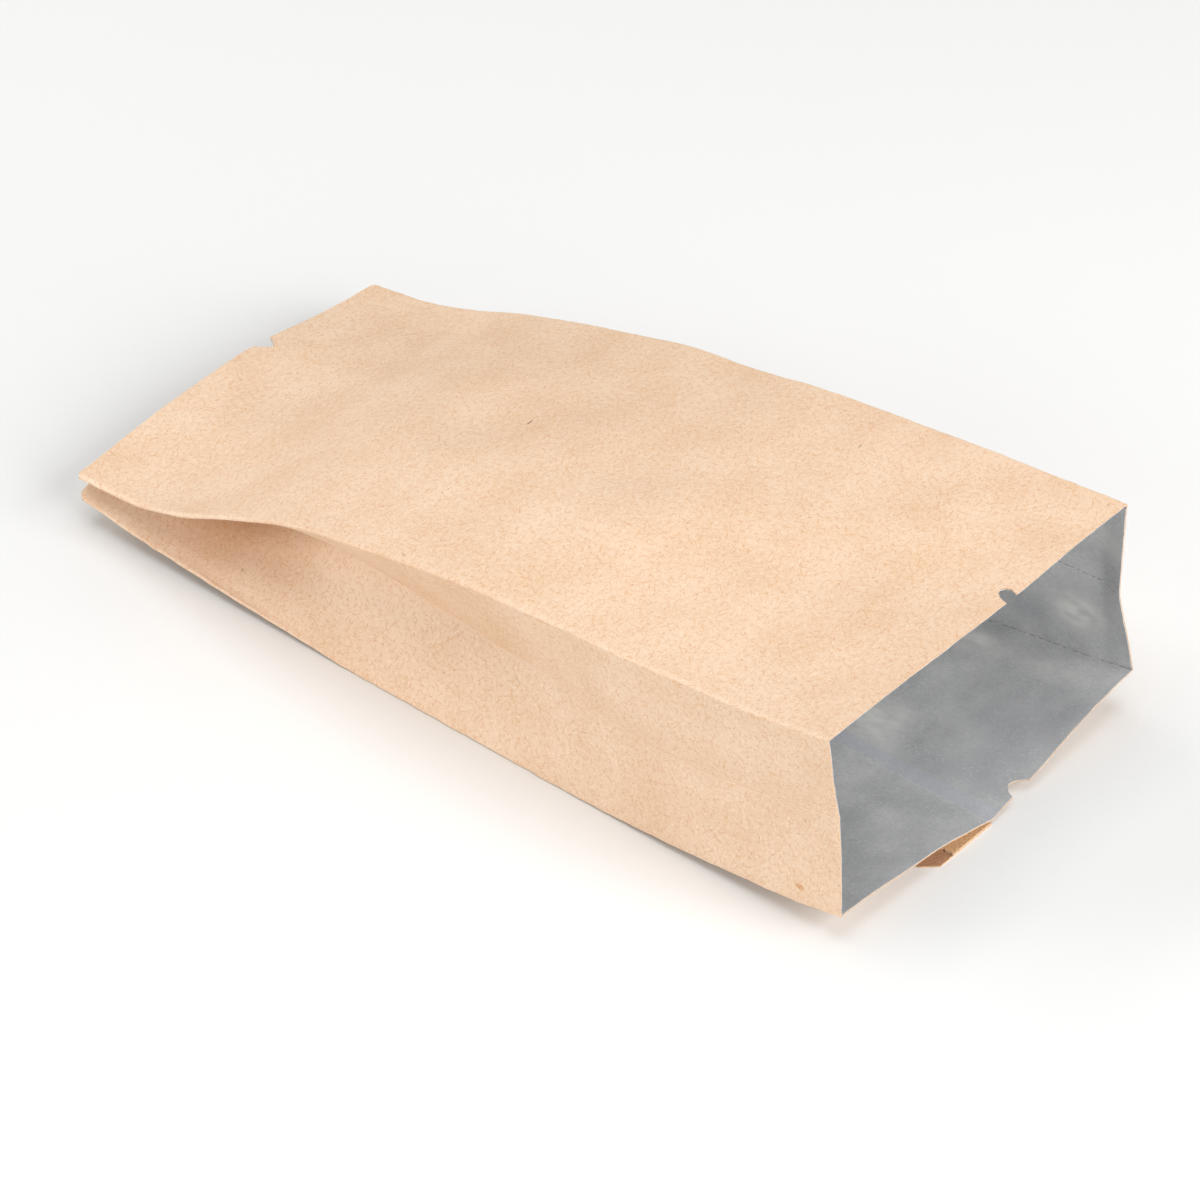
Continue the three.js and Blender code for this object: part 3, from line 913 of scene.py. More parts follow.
class Graph:
    """The node tree of one material."""

    def __init__(self, name: str) -> None:
        """Start an empty material.

        Args:
            name: Name of the material.
        """
        self.material = bpy.data.materials.new(name)
        self.material.use_nodes = True
        self.nodes = self.material.node_tree.nodes
        self.links = self.material.node_tree.links
        self.nodes.clear()

    def node(self, kind: str, settings: Settings, inputs: Inputs) -> bpy.types.Node:
        """Add a node.

        Args:
            kind: The node's type.
            settings: Its own options, set before its sockets are used.
            inputs: A value or a link for each socket, by its place or its name.

        Returns:
            The node.
        """
        made = self.nodes.new(kind)
        for option, value in settings.items():
            setattr(made, option, value)
        for key, value in inputs.items():
            socket = made.inputs[key]
            if isinstance(value, Wire):
                self.links.new(value.socket, socket)
            else:
                socket.default_value = value
        return made

    def wire(self, kind: str, settings: Settings, inputs: Inputs, output: str | int = 0) -> Wire:
        """Add a node and give one of its outputs."""
        return Wire(self, self.node(kind, settings, inputs).outputs[output])

    def math(self, operation: str, *values: Operand) -> Wire:
        """Add a Math node."""
        return self.wire("ShaderNodeMath", {"operation": operation}, dict(enumerate(values)))

    def vector(self, operation: str, *values: Tint) -> Wire:
        """Add a Vector Math node."""
        return self.wire("ShaderNodeVectorMath", {"operation": operation}, dict(enumerate(values)))

    def scale(self, vector: Wire, factor: float) -> Wire:
        """Make a vector longer."""
        inputs = {0: vector, "Scale": factor}
        return self.wire("ShaderNodeVectorMath", {"operation": "SCALE"}, inputs)

    def mix(self, part: Operand, first: Tint, second: Tint) -> Wire:
        """Go from the first colour to the second as part goes from 0 to 1."""
        inputs = {0: part, 6: first, 7: second}  # a Mix node's colour sockets share their names
        return self.wire("ShaderNodeMix", {"data_type": "RGBA"}, inputs, 2)

    def lay(
        self, sheet: Wire, colour: Tint, marks: "tuple[Hairs | Blot, ...]", tint: Colour,
        cover: Operand = 1.0,
    ) -> Tint:
        """Lay marks of one tint over a colour.

        Args:
            sheet: The sheet's coordinates, in millimetres.
            colour: The colour under the marks.
            marks: The marks, in the order in which they are laid.
            tint: The marks' colour.
            cover: How strongly the marks show at each place.

        Returns:
            The colour with the marks.
        """
        for mark in marks:
            colour = self.mix(mark.mask(self, sheet) * cover, colour, tint)
        return colour

    def split(self, vector: Wire) -> tuple[Wire, Wire, Wire]:
        """Take a vector or a colour apart into its three numbers."""
        parts = self.node("ShaderNodeSeparateXYZ", {}, {0: vector}).outputs
        return Wire(self, parts[0]), Wire(self, parts[1]), Wire(self, parts[2])

    def fade(self, value: Wire, start: float, end: float) -> Wire:
        """Go smoothly from 1 where the value is start to 0 where it is end."""
        inputs = {"Value": value, "From Min": start, "From Max": end, "To Min": 1.0, "To Max": 0.0}
        return self.wire("ShaderNodeMapRange", {"interpolation_type": "SMOOTHSTEP"}, inputs)

    def noise(self, place: Wire, size: float, detail: float = 2.0, roughness: float = 0.5) -> Wire:
        """Add smooth noise.

        Args:
            place: Where to read it, in millimetres.
            size: Width of its largest blots, in millimetres.
            detail: Number of finer layers.
            roughness: Strength of the finer layers.

        Returns:
            The noise, about 0.5 with most of it between 0.3 and 0.7.
        """
        inputs = {"Vector": place, "Scale": 1.0 / size, "Detail": detail, "Roughness": roughness}
        return self.wire("ShaderNodeTexNoise", {"noise_dimensions": "2D"}, inputs, "Fac")

    def sheet(self) -> Wire:
        """Give the sheet's own coordinates, in millimetres round and along the bag."""
        return self.scale(self.wire("ShaderNodeUVMap", {"uv_map": SHEET_MAP}, {}), SHEET_SPAN)

    def finish(self, shader: Inputs) -> bpy.types.Material:
        """End the graph with a Principled shader.

        Args:
            shader: Values and links of the shader's sockets.

        Returns:
            The material.
        """
        principled = self.node("ShaderNodeBsdfPrincipled", {}, shader)
        output = self.nodes.new("ShaderNodeOutputMaterial")
        self.links.new(principled.outputs[0], output.inputs["Surface"])
        return self.material


def paint(red: int, green: int, blue: int) -> Colour:
    """Turn a colour as seen on a screen, 0 to 255, into a shader's linear colour."""
    channels = [value / 255 for value in (red, green, blue)]
    linear = [c / 12.92 if c <= 0.04045 else ((c + 0.055) / 1.055) ** 2.4 for c in channels]
    return (linear[0], linear[1], linear[2], 1.0)


# ---- Finishes ----


@dataclass(frozen=True)
class Hairs:
    """One layer of paper fibres: a few in each small patch of paper, each lying its own way."""

    spacing: float
    length: float
    width: float
    share: float
    shift: tuple[float, float, float]
    strength: float
    each: int = 2
    scatter: float = 0.5
    curl: float = 0.5
    seed_scale: float = 7.3
    seed_step: float = 13.7
    turns: float = 3.0
    solid_width: float = 0.2
    solid_length: float = 0.3

    def mask(self, graph: Graph, sheet: Wire) -> Wire:
        """Draw the fibres.

        Args:
            graph: The material's graph.
            sheet: The sheet's coordinates, in millimetres.

        Returns:
            The layer's strength on a fibre, 0 beside it.
        """
        place = graph.vector("ADD", sheet, self.shift)
        inputs = {"Vector": place, "Scale": 1.0 / self.spacing}
        patch = graph.node("ShaderNodeTexVoronoi", {"voronoi_dimensions": "2D"}, inputs).outputs
        local = graph.vector("SUBTRACT", place, Wire(graph, patch["Position"]))
        seeds = Wire(graph, patch["Color"])
        total = self._hair(graph, local, seeds, 0)
        for number in range(1, self.each):
            total = graph.math("MAXIMUM", total, self._hair(graph, local, seeds, number))
        return total * self.strength

    def _hair(self, graph: Graph, local: Wire, seeds: Wire, number: int) -> Wire:
        """Draw one fibre of every patch.

        Args:
            graph: The material's graph.
            local: The place from the patch's middle, in millimetres.
            seeds: Three random numbers for each patch.
            number: Which of the patch's fibres to draw.

        Returns:
            1 on the fibre, 0 beside it.
        """
        seed = self.seed_scale + self.seed_step * number
        draw = graph.vector("FRACTION", graph.scale(seeds, seed))
        turn, bend, chance = graph.split(draw)
        offset = graph.vector("SUBTRACT", draw, (0.5, 0.5, 0.0))
        middle = graph.scale(offset, self.scatter * self.spacing)
        from_middle = graph.vector("SUBTRACT", local, middle)
        turned = graph.wire("ShaderNodeVectorRotate", {"rotation_type": "Z_AXIS"}, {
            "Vector": from_middle, "Angle": turn * (self.turns * math.tau),
        })
        along, across, _ = graph.split(turned)
        bowed = across + (bend - 0.5) * self.curl * along * along
        thin = graph.fade(abs(bowed), self.solid_width * self.width, self.width)
        ends = graph.fade(abs(along), self.solid_length * self.length, 0.5 * self.length)
        return thin * ends * (chance < self.share)


@dataclass(frozen=True)
class Blot:
    """One oval mark at a place of its own on the sheet, from a speck to a broad soft patch."""

    u: float
    s: float
    length: float
    width: float
    angle: float = 0.0
    strength: float = 1.0
    core: float = 0.4

    def mask(self, graph: Graph, sheet: Wire) -> Wire:
        """Draw the mark: its strength in the middle, 0 beyond its edge."""
        local = graph.wire("ShaderNodeMapping", {"vector_type": "TEXTURE"}, {
            "Vector": sheet, "Location": (self.u, self.s, 0.0),
            "Rotation": (0.0, 0.0, math.radians(self.angle)),
            "Scale": (self.length / 2, self.width / 2, 1.0),
        })
        away = graph.wire("ShaderNodeVectorMath", {"operation": "LENGTH"}, {0: local}, "Value")
        return graph.fade(away, self.core, 1.0) * self.strength


@dataclass(frozen=True)
class Stripe:
    """A stripe along the bag, where a fold, a crease or the seam has marked the sheet."""

    solid: float
    reach: float
    strength: float
    offset: float = 0.0

    def mask(self, graph: Graph, u: Wire, line: float) -> Wire:
        """Draw the stripe beside a line: its strength in the middle, 0 beyond its reach."""
        return graph.fade(abs(u - (line + self.offset)), self.solid, self.reach) * self.strength


@dataclass(frozen=True)
class KraftPaper:
    """Light-brown kraft paper: cloudy, fibred and flecked, with painted shade and painted light.
    """

    light: Colour = paint(231, 204, 177)
    deep: Colour = paint(216, 181, 147)
    # Tint of the fibres, also used for the painted shade at the creases and in the patches below.
    fibre_and_painted_shade: Colour = paint(202, 142, 88)
    pale_fibre: Colour = paint(243, 224, 205)
    fleck: Colour = paint(120, 84, 60)
    # Tint of the rubbed folds, also used for the painted highlight beside the creases and the
    # painted light patch.
    worn_and_painted_light: Colour = paint(242, 218, 192)
    grain_size: float = 0.45
    blotch_size: float = 1.8
    cloud_size: float = 13.0
    mottle: tuple[float, float, float] = (0.4, 0.35, 0.9)  # weights of grain, blotches, clouds
    tone_reach: float = 0.7
    dark_hairs: tuple[Hairs, ...] = (
        Hairs(1.75, 1.5, 0.09, 0.85, (3.1, 7.7, 0.0), 0.54),
        Hairs(1.3, 1.0, 0.08, 0.85, (77.7, 3.3, 0.0), 0.54),
    )
    pale_hairs: tuple[Hairs, ...] = (
        Hairs(1.6, 1.4, 0.09, 0.85, (13.9, 57.1, 0.0), 0.32),
        Hairs(1.2, 0.9, 0.09, 0.85, (91.1, 31.7, 0.0), 0.32),
    )
    long_hairs: Hairs = Hairs(
        5.5, 3.2, 0.12, 0.4, (5.5, 88.8, 0.0), 0.45, scatter=0.4, curl=0.15
    )
    specks: Hairs = Hairs(11.0, 0.5, 0.2, 0.3, (27.5, 8.4, 0.0), 0.4, scatter=0.8, curl=0.0)
    rubbed_fold: Stripe = Stripe(0.2, 1.2, 0.35)
    # Painted shade: a thin dark line along each gusset crease, with a painted highlight just
    # beside it.
    painted_crease_shade: Stripe = Stripe(0.08, 0.45, 0.3)
    painted_crease_highlight: Stripe = Stripe(0.1, 0.5, 0.35, -0.6)
    folds: tuple[float, ...] = (0.0, 85.0, 248.2)
    creases: tuple[float, ...] = (104.3, 228.4)
    # The first three blots are painted shade: under the near top fold, in the recess at the sealed
    # end and on the top's far slope. The last is a real brown fleck.
    smudges_and_painted_shade: tuple[Blot, ...] = (
        Blot(245.0, 136.0, 12.0, 36.0, 0.0, 0.3, 0.0),
        Blot(219.5, 165.0, 26.0, 32.0, 0.0, 0.4, 0.0),
        Blot(50.0, 112.0, 28.0, 64.0, 0.0, 0.1, 0.0),
        Blot(211.3, 9.5, 1.5, 2.7, -15.0, 0.75, 0.55),
    )
    # Painted light on the near gusset's lower half, near its crease.
    painted_light_patch: Blot = Blot(221.0, 128.0, 22.0, 52.0, 0.0, 0.5, 0.0)
    # Painted shade over the near gusset's upper half, which faces down.
    painted_shade_patch: Blot = Blot(238.4, 100.0, 60.0, 84.0, 0.0, 0.16, 0.3)
    upper_half: tuple[float, float, float] = (238.4, 9.5, 10.3)
    flecks: tuple[Blot, ...] = (
        Blot(45.3, 111.7, 2.7, 0.55, 5.0, 0.85),
        Blot(72.0, 52.4, 1.7, 0.45, 10.0, 0.55),
        Blot(1.4, 102.4, 1.0, 0.6, 80.0, 0.5),
        Blot(213.7, 154.5, 1.2, 0.6, 20.0, 0.5),
        Blot(222.9, 81.6, 3.4, 0.35, 60.0, 0.35),
        Blot(221.3, 61.3, 2.8, 0.35, 110.0, 0.35),
    )

    def material(self) -> bpy.types.Material:
        """Make the material."""
        graph = Graph("kraft_paper")
        sheet = graph.sheet()
        grain = graph.noise(sheet, self.grain_size, detail=2.0, roughness=0.75)
        colour = self._ground_with_wear_and_painted_light(graph, sheet, grain)
        colour = graph.lay(sheet, colour, self.dark_hairs, self.fibre_and_painted_shade)
        colour = graph.lay(sheet, colour, self.pale_hairs, self.pale_fibre)
        colour = graph.lay(sheet, colour, (self.long_hairs,), self.fibre_and_painted_shade)
        colour = graph.lay(sheet, colour, (self.specks, *self.flecks), self.fleck)
        bump = graph.wire("ShaderNodeBump", {}, {
            "Strength": 0.18, "Distance": 0.08 * MM, "Height": grain,
        })
        return graph.finish({
            "Base Color": colour, "Roughness": 0.75, "Specular IOR Level": 0.5, "Normal": bump,
        })

    def _ground_with_wear_and_painted_light(self, graph: Graph, sheet: Wire, grain: Wire) -> Wire:
        """Colour the paper between its fibres: worn folds, painted shade and painted light.

        Args:
            graph: The material's graph.
            sheet: The sheet's coordinates, in millimetres.
            grain: The paper's finest unevenness.

        Returns:
            The colour.
        """
        cloud = graph.noise(sheet, self.cloud_size, detail=2.0)
        blotch = graph.noise(sheet, self.blotch_size, detail=2.0, roughness=0.7)
        fine, middling, broad = self.mottle
        tone = (cloud - 0.5) * broad + (blotch - 0.5) * middling + (grain - 0.5) * fine
        part = graph.fade(tone, self.tone_reach, -self.tone_reach)
        colour = graph.mix(part, self.light, self.deep)
        u, _, _ = graph.split(sheet)
        for fold in self.folds:
            colour = graph.mix(self.rubbed_fold.mask(graph, u, fold) * blotch, colour, self.worn_and_painted_light)
        # Painted shade in each gusset crease, then a painted highlight beside it.
        for crease in self.creases:
            colour = graph.mix(self.painted_crease_shade.mask(graph, u, crease), colour, self.fibre_and_painted_shade)
            colour = graph.mix(self.painted_crease_highlight.mask(graph, u, crease), colour, self.worn_and_painted_light)
        # Painted shade blots and one real fleck, in the fibre tint.
        colour = graph.lay(sheet, colour, self.smudges_and_painted_shade, self.fibre_and_painted_shade)
        # Painted shade on the near gusset's upper half, kept to that half by the mask below.
        middle, start, end = self.upper_half
        on_upper_half = graph.fade(abs(u - middle), start, end)
        colour = graph.lay(sheet, colour, (self.painted_shade_patch,), self.fibre_and_painted_shade, on_upper_half)
        # Painted light on the near gusset's lower half.
        return graph.lay(sheet, colour, (self.painted_light_patch,), self.worn_and_painted_light)


@dataclass(frozen=True)
class CutEdge:
    """Kraft paper where it was cut or torn; its brown also paints shade on the fin's lower layer.
    """

    name: str
    colour: Colour
    dark_part: float = 0.78
    grain_size: float = 0.8
    tone_range: tuple[float, float] = (0.35, 0.6)

    def material(self) -> bpy.types.Material:
        """Make the material."""
        graph = Graph(self.name)
        sheet = graph.sheet()
        tone = graph.noise(sheet, self.grain_size, detail=2.0, roughness=0.6)
        darker = tuple(self.dark_part * channel for channel in self.colour[:3]) + (1.0,)
        colour = graph.mix(graph.fade(tone, *self.tone_range), self.colour, darker)
        return graph.finish({"Base Color": colour, "Roughness": 0.9, "Specular IOR Level": 0.2})


@dataclass(frozen=True)
class FoilLaminate:
    """Dull silver aluminium laminate: cloudy and grained, with specks, cracked folds, painted
    highlights and shade.
    """

    light: Colour = paint(242, 242, 241)
    dark: Colour = paint(184, 185, 187)
    # Tints of the painted highlights and the painted shade patches.
    painted_highlight_tint: Colour = paint(250, 250, 245)
    painted_shade_tint: Colour = paint(187, 188, 192)
    cool: Colour = paint(206, 210, 222)
    crack: Colour = paint(108, 84, 70)
    speck: Colour = paint(248, 249, 250)
    cloud_size: float = 11.0
    grain_size: float = 0.5
    grain_draw: tuple[float, float, float] = (1.0, 0.4, 1.0)
    mottle: tuple[float, float] = (0.8, 1.2)  # weights of grain and clouds
    tone_reach: float = 0.9
    streak_size: float = 2.4
    streak_draw: tuple[float, float, float] = (1.0, 0.5, 1.0)
    streak_range: tuple[float, float] = (0.9, -0.1)
    dent_size: float = 1.6
    smoothest: float = 0.42
    roughness_span: float = 0.16
    cluster_size: float = 6.0
    cluster_range: tuple[float, float] = (0.62, 0.42)
    specks: tuple[Hairs, ...] = (
        Hairs(1.1, 0.34, 0.16, 0.5, (8.3, 2.9, 0.0), 0.6, scatter=0.8, curl=0.0),
        Hairs(2.3, 1.0, 0.1, 0.35, (63.1, 17.7, 0.0), 0.6, scatter=0.7, curl=0.0),
    )
    # Painted highlights: soft pale patches standing for reflections on the lining, broken up by
    # streaks.
    painted_highlight_strength: float = 1.5
    painted_highlights: tuple[Blot, ...] = (
        Blot(114.2, 11.8, 13.0, 20.0, 0.0, 0.95, 0.0),
        Blot(94.0, 4.2, 12.0, 14.0, 0.0, 0.5, 0.0),
        Blot(157.0, 33.5, 18.0, 22.0, 0.0, 0.7, 0.0),
        Blot(130.0, 32.5, 10.0, 20.0, 0.0, 0.8, 0.0),
        Blot(130.3, 14.0, 8.0, 24.0, 0.0, 0.5, 0.0),
    )
    # Painted shade: darker patches where less light reaches the lining.
    painted_shade_patches: tuple[Blot, ...] = (
        Blot(146.0, 10.0, 46.0, 44.0, 0.0, 0.5, 0.0),
        Blot(160.6, 13.0, 10.0, 36.0, -6.0, 0.4, 0.0),
        Blot(117.2, 25.0, 10.0, 18.0, 0.0, 0.6, 0.0),
    )
    seam: float = 165.2
    seam_band: Stripe = Stripe(1.0, 2.4, 0.4)
    seam_edge: Stripe = Stripe(0.1, 0.4, 0.25, 2.0)
    creased: tuple[float, ...] = (85.0, 104.3, 123.4)
    cracked: Stripe = Stripe(0.1, 0.34, 0.75)
    rubbed: Stripe = Stripe(0.1, 0.4, 0.5, 0.5)
    break_size: float = 1.1
    edge_gaps: tuple[float, float] = (0.42, 0.56)
    crack_gaps: tuple[float, float] = (0.58, 0.42)
    rub_gaps: tuple[float, float] = (0.4, 0.56)

    def material(self) -> bpy.types.Material:
        """Make the material."""
        graph = Graph("foil")
        sheet = graph.sheet()
        drawn_out = graph.vector("MULTIPLY", sheet, self.grain_draw)
        grain = graph.noise(drawn_out, self.grain_size, detail=3.0, roughness=0.75)
        colour = self._clouds_and_painted_light(graph, sheet, grain)
        colour = self._lines(graph, sheet, colour)
        cluster = graph.noise(sheet, self.cluster_size, detail=2.0, roughness=0.6)
        clusters = graph.fade(cluster, *self.cluster_range)
        colour = graph.lay(sheet, colour, self.specks, self.speck, clusters)
        dents = graph.noise(sheet, self.dent_size, detail=3.0, roughness=0.6)
        bump = graph.wire("ShaderNodeBump", {}, {
            "Strength": 0.2, "Distance": 0.1 * MM, "Height": dents,
        })
        roughness = self.smoothest + grain * self.roughness_span
        return graph.finish({
            "Base Color": colour, "Metallic": 0.55, "Roughness": roughness, "Normal": bump,
        })

    def _clouds_and_painted_light(self, graph: Graph, sheet: Wire, grain: Wire) -> Wire:
        """Colour the foil between its creases, with painted highlights and painted shade.

        Args:
            graph: The material's graph.
            sheet: The sheet's coordinates, in millimetres.
            grain: Fine noise drawn out along the bag.

        Returns:
            The colour.
        """
        cloud = graph.noise(sheet, self.cloud_size, detail=3.0, roughness=0.6)
        fine, broad = self.mottle
        tone = (cloud - 0.5) * broad + (grain - 0.5) * fine
        part = graph.fade(tone, self.tone_reach, -self.tone_reach)
        colour = graph.mix(part, self.light, self.dark)
        drawn_out = graph.vector("MULTIPLY", sheet, self.streak_draw)
        streaks = graph.fade(graph.noise(drawn_out, self.streak_size), *self.streak_range)
        # The painted highlights, then the painted shade patches.
        cover = streaks * self.painted_highlight_strength
        colour = graph.lay(sheet, colour, self.painted_highlights, self.painted_highlight_tint, cover)
        return graph.lay(sheet, colour, self.painted_shade_patches, self.painted_shade_tint)

    def _lines(self, graph: Graph, sheet: Wire, colour: Wire) -> Wire:
        """Draw the band over the glued seam and the cracks along the folds.

        Args:
            graph: The material's graph.
            sheet: The sheet's coordinates, in millimetres.
            colour: The foil's colour so far.

        Returns:
            The colour with them.
        """
        u, _, _ = graph.split(sheet)
        broken = graph.noise(sheet, self.break_size, detail=2.0)
        colour = graph.mix(self.seam_band.mask(graph, u, self.seam), colour, self.cool)
        edge = self.seam_edge.mask(graph, u, self.seam) * graph.fade(broken, *self.edge_gaps)
        colour = graph.mix(edge, colour, self.speck)
        for line in self.creased:
            crack = self.cracked.mask(graph, u, line) * graph.fade(broken, *self.crack_gaps)
            colour = graph.mix(crack, colour, self.crack)
            rubbed = self.rubbed.mask(graph, u, line) * graph.fade(broken, *self.rub_gaps)
            colour = graph.mix(rubbed, colour, self.speck)
        return colour


class Finish(Enum):
    """The finishes of the bag's faces, in the order of each piece's material slots."""

    KRAFT = 0
    PALE_EDGE = 1
    # Brown of the cut edges; on the fin's lower layer it is partly painted shade.
    BROWN_EDGE_AND_SHADE = 2
    TORN_LAYER = 3


# ---- Notches and rounded corners ----


@dataclass(frozen=True)
class Bite:
    """A tear notch: its outline in plan, and the heights between which it cuts."""

    outline: tuple[tuple[float, float], ...]
    heights: tuple[float, float]
    ragged: float = 0.06
    spacing: float = 0.22
    least_points: int = 12
    seed: int = 5

    def path(self) -> Array:
        """Round the outline off and roughen it as torn paper is."""
        corners = np.array(self.outline, float)
        steps = np.linalg.norm(np.diff(corners, axis=0), axis=1)
        places = np.concatenate([[0.0], np.cumsum(steps)])
        count = max(int(places[-1] / self.spacing), self.least_points)
        at = np.linspace(0.0, places[-1], count)
        slopes = np.gradient(corners, places, axis=0)
        smooth = np.stack(
            [hermite(places, corners[:, k], slopes[:, k], at) for k in range(2)], axis=-1
        )
        draw = np.random.default_rng(self.seed)
        jitter = draw.normal(size=smooth.shape) * self.ragged
        jitter[[0, -1]] = 0.0
        return smooth + jitter


@dataclass
class EdgeCuts:
    """Everything cut from the laminate's ends: three tear notches and four rounded corners."""

    form: BagForm
    back_notch_y: float = 8.5
    corner_radius: float = 1.7
    corner_points: int = 7
    corner_heights: tuple[float, float] = (-2.0, 30.0)
    overrun: float = 3.0

    def bites(self) -> list[Bite]:
        """List the notches: in the top panel's mouth, the back panel's mouth, the sealed end."""
        top = float(self.form.top_x(np.array(0.0)))
        back = float(self.form.back_x(self.back_notch_y, np.array(0.0)))
        end = -self.form.lying_length / 2
        out = self.overrun
        return [
            Bite(((top + out, 6.9), (top + 0.1, 7.0), (top - 1.9, 7.8), (top - 2.8, 8.6),
                  (top - 3.4, 9.7), (top - 2.0, 10.7), (top - 0.1, 10.1), (top + out, 10.0)),
                 (34.0, 56.0), seed=21),
            Bite(((back + out, 5.6), (back + 0.2, 5.9), (back - 1.6, 6.65), (back - 2.45, 7.76),
                  (back - 2.4, 8.9), (back - 1.5, 10.0), (back, 11.1), (back + out, 11.6)),
                 (-1.0, 12.0), ragged=0.04, seed=22),
            Bite(((end - out, 7.4), (end - 0.1, 7.6), (end + 1.4, 8.4), (end + 2.7, 9.4),
                  (end + 3.1, 10.2), (end + 1.5, 11.5), (end + 0.1, 12.3), (end - out, 12.6)),
                 (-1.0, 26.0), seed=23),
        ]

    def corners(self) -> list[Bite]:
        """List the cutters that round the sealed end's corners."""
        end, radius = -self.form.lying_length / 2, self.corner_radius
        outside = end - self.overrun
        cuts = []
        for side in Side:
            edge = side.value * self.form.half_width
            beyond = edge + side.value * self.overrun
            x, y = end + radius, edge - side.value * radius
            arc = [
                (x - radius * math.cos(a), y + side.value * radius * math.sin(a))
                for a in np.linspace(0.0, math.pi / 2, self.corner_points)
            ]
            outline = (*arc, (x, beyond), (outside, beyond), (outside, y))
            cuts.append(Bite(outline, self.corner_heights))
        return cuts

    def cutter(self, materials: list[bpy.types.Material]) -> bpy.types.Object:
        """Make one object of all the cutters.

        Args:
            materials: The cut piece's finishes, so that cut faces can be given the pale edge.

        Returns:
            The cutter, which its user removes.
        """
        plan = MeshPlan()
        for bite in self.bites():
            self._add_prism(plan, bite.path(), bite.heights)
        for bite in self.corners():
            self._add_prism(plan, np.array(bite.outline), bite.heights)
        return plan.build("edge_cutter", materials)

    @staticmethod
    def _add_prism(plan: MeshPlan, path: Array, heights: tuple[float, float]) -> None:
        """Add a closed prism over a path in plan.

        Args:
            plan: The mesh to add to.
            path: The outline, points by two, in either direction.
            heights: Z of the prism's bottom and top.
        """
        shifted = np.roll(path, -1, axis=0)
        if (path[:, 0] * shifted[:, 1] - shifted[:, 0] * path[:, 1]).sum() < 0:
            path = path[::-1]
        low, high = (
            plan.add_points(np.column_stack([path, np.full(len(path), z)])) for z in heights
        )
        count = len(path)
        edge = Finish.PALE_EDGE.value
        for i in range(count):
            j = (i + 1) % count
            plan.add_face((low[i], low[j], high[j], high[i]), edge, [(0.0, 0.0)] * 4)
        plan.add_face(tuple(high), edge, [(0.0, 0.0)] * count)
        plan.add_face(tuple(low[::-1]), edge, [(0.0, 0.0)] * count)

    def cut(self, piece: bpy.types.Object) -> None:
        """Cut notches and corners from a piece.

        Args:
            piece: The piece, whose second finish its cut faces get.
        """
        cutter = self.cutter(list(piece.data.materials))
        boolean = piece.modifiers.new("edge_cuts", "BOOLEAN")
        boolean.operation = "DIFFERENCE"
        boolean.solver = "EXACT"
        boolean.object = cutter
        apply_modifiers(piece)
        bpy.data.objects.remove(cutter)


# ---- The pieces ----


SHARP_ANGLE = math.radians(42.0)


def dress(piece: bpy.types.Object, node: str) -> bpy.types.Object:
    """Sharpen a piece's edges, attach it to the body and hide the solid it stands in for.

    Args:
        piece: The piece, with its finishes.
        node: The solid that the piece stands in for.

    Returns:
        The piece.
    """
    piece.data.set_sharp_from_angle(angle=SHARP_ANGLE)
    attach(piece, BODY)
    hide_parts(node)
    return piece


@dataclass
class KraftShell:
    """The kraft paper of the tube, with its cut edges."""

    handling: Handling
    thickness: float = 0.24
    pale_share: float = 0.6  # of a cut edge, which is brown nearer the foil
    node: str = "kraft_shell"
    slot: str = "kraft_paper"

    def build(self, cuts: EdgeCuts, materials: list[bpy.types.Material]) -> bpy.types.Object:
        """Build, cut and dress the shell.

        Args:
            cuts: The notches and rounded corners.
            materials: The finishes, in their order.

        Returns:
            The piece.
        """
        plan = MeshPlan()
        u, s = self.handling.laminate.round_the_tube, self.handling.laminate.s
        middle_depth = self.thickness * self.pale_share
        outer = closed_ring(plan.add_points(self.handling.layer(0.0)))
        inner = closed_ring(plan.add_points(self.handling.layer(self.thickness)))
        plan.add_grid(outer, u, s, Finish.KRAFT.value)
        plan.add_grid(inner, u, s, Finish.KRAFT.value, is_flipped=True)
        middles = self.handling.layer(middle_depth)
        for row, is_flipped in ((0, True), (-1, False)):
            middle = closed_ring(plan.add_points(middles[row]))
            strip = np.array([s[row], s[row]])
            pale, brown = np.stack([outer[row], middle]), np.stack([middle, inner[row]])
            plan.add_grid(pale, u, strip, Finish.PALE_EDGE.value, is_flipped)
            plan.add_grid(brown, u, strip, Finish.BROWN_EDGE_AND_SHADE.value, is_flipped)
        piece = plan.build("kraft_paper_shell", materials)
        cuts.cut(piece)
        return dress(piece, self.node)


@dataclass
class FoilLining:
    """The foil lining, open from the mouth to the seal and pressed into one beyond it."""

    handling: Handling
    outer_depth: float = 0.26
    inner_depth: float = 0.36
    node: str = "foil_lining"
    slot: str = "foil"

    def build(self, cuts: EdgeCuts, material: bpy.types.Material) -> bpy.types.Object:
        """Build, cut and dress the lining.

        Args:
            cuts: The notches and rounded corners.
            material: The foil.

        Returns:
            The piece.
        """
        plan = MeshPlan()
        laminate = self.handling.laminate
        u, s = laminate.round_the_tube, laminate.s
        open_rows = int(np.searchsorted(s, laminate.form.seal_start)) + 1
        outside = plan.add_points(self.handling.layer(self.outer_depth))
        inside = plan.add_points(self.handling.layer(self.inner_depth)[:open_rows])
        outer, inner = closed_ring(outside), closed_ring(inside)
        plan.add_grid(outer, u, s, 0)
        plan.add_grid(inner, u, s[:open_rows], 0, is_flipped=True)
        plan.add_grid(np.stack([outer[0], inner[0]]), u, s[[0, 0]], 0, is_flipped=True)
        plan.add_cap(inside[-1], 0, 1)
        plan.add_cap(outside[-1], 0, -1)
        # The cutter's faces are in the second slot, and here they are foil too.
        piece = plan.build("foil_lining_sheet", [material, material])
        cuts.cut(piece)
        return dress(piece, self.node)


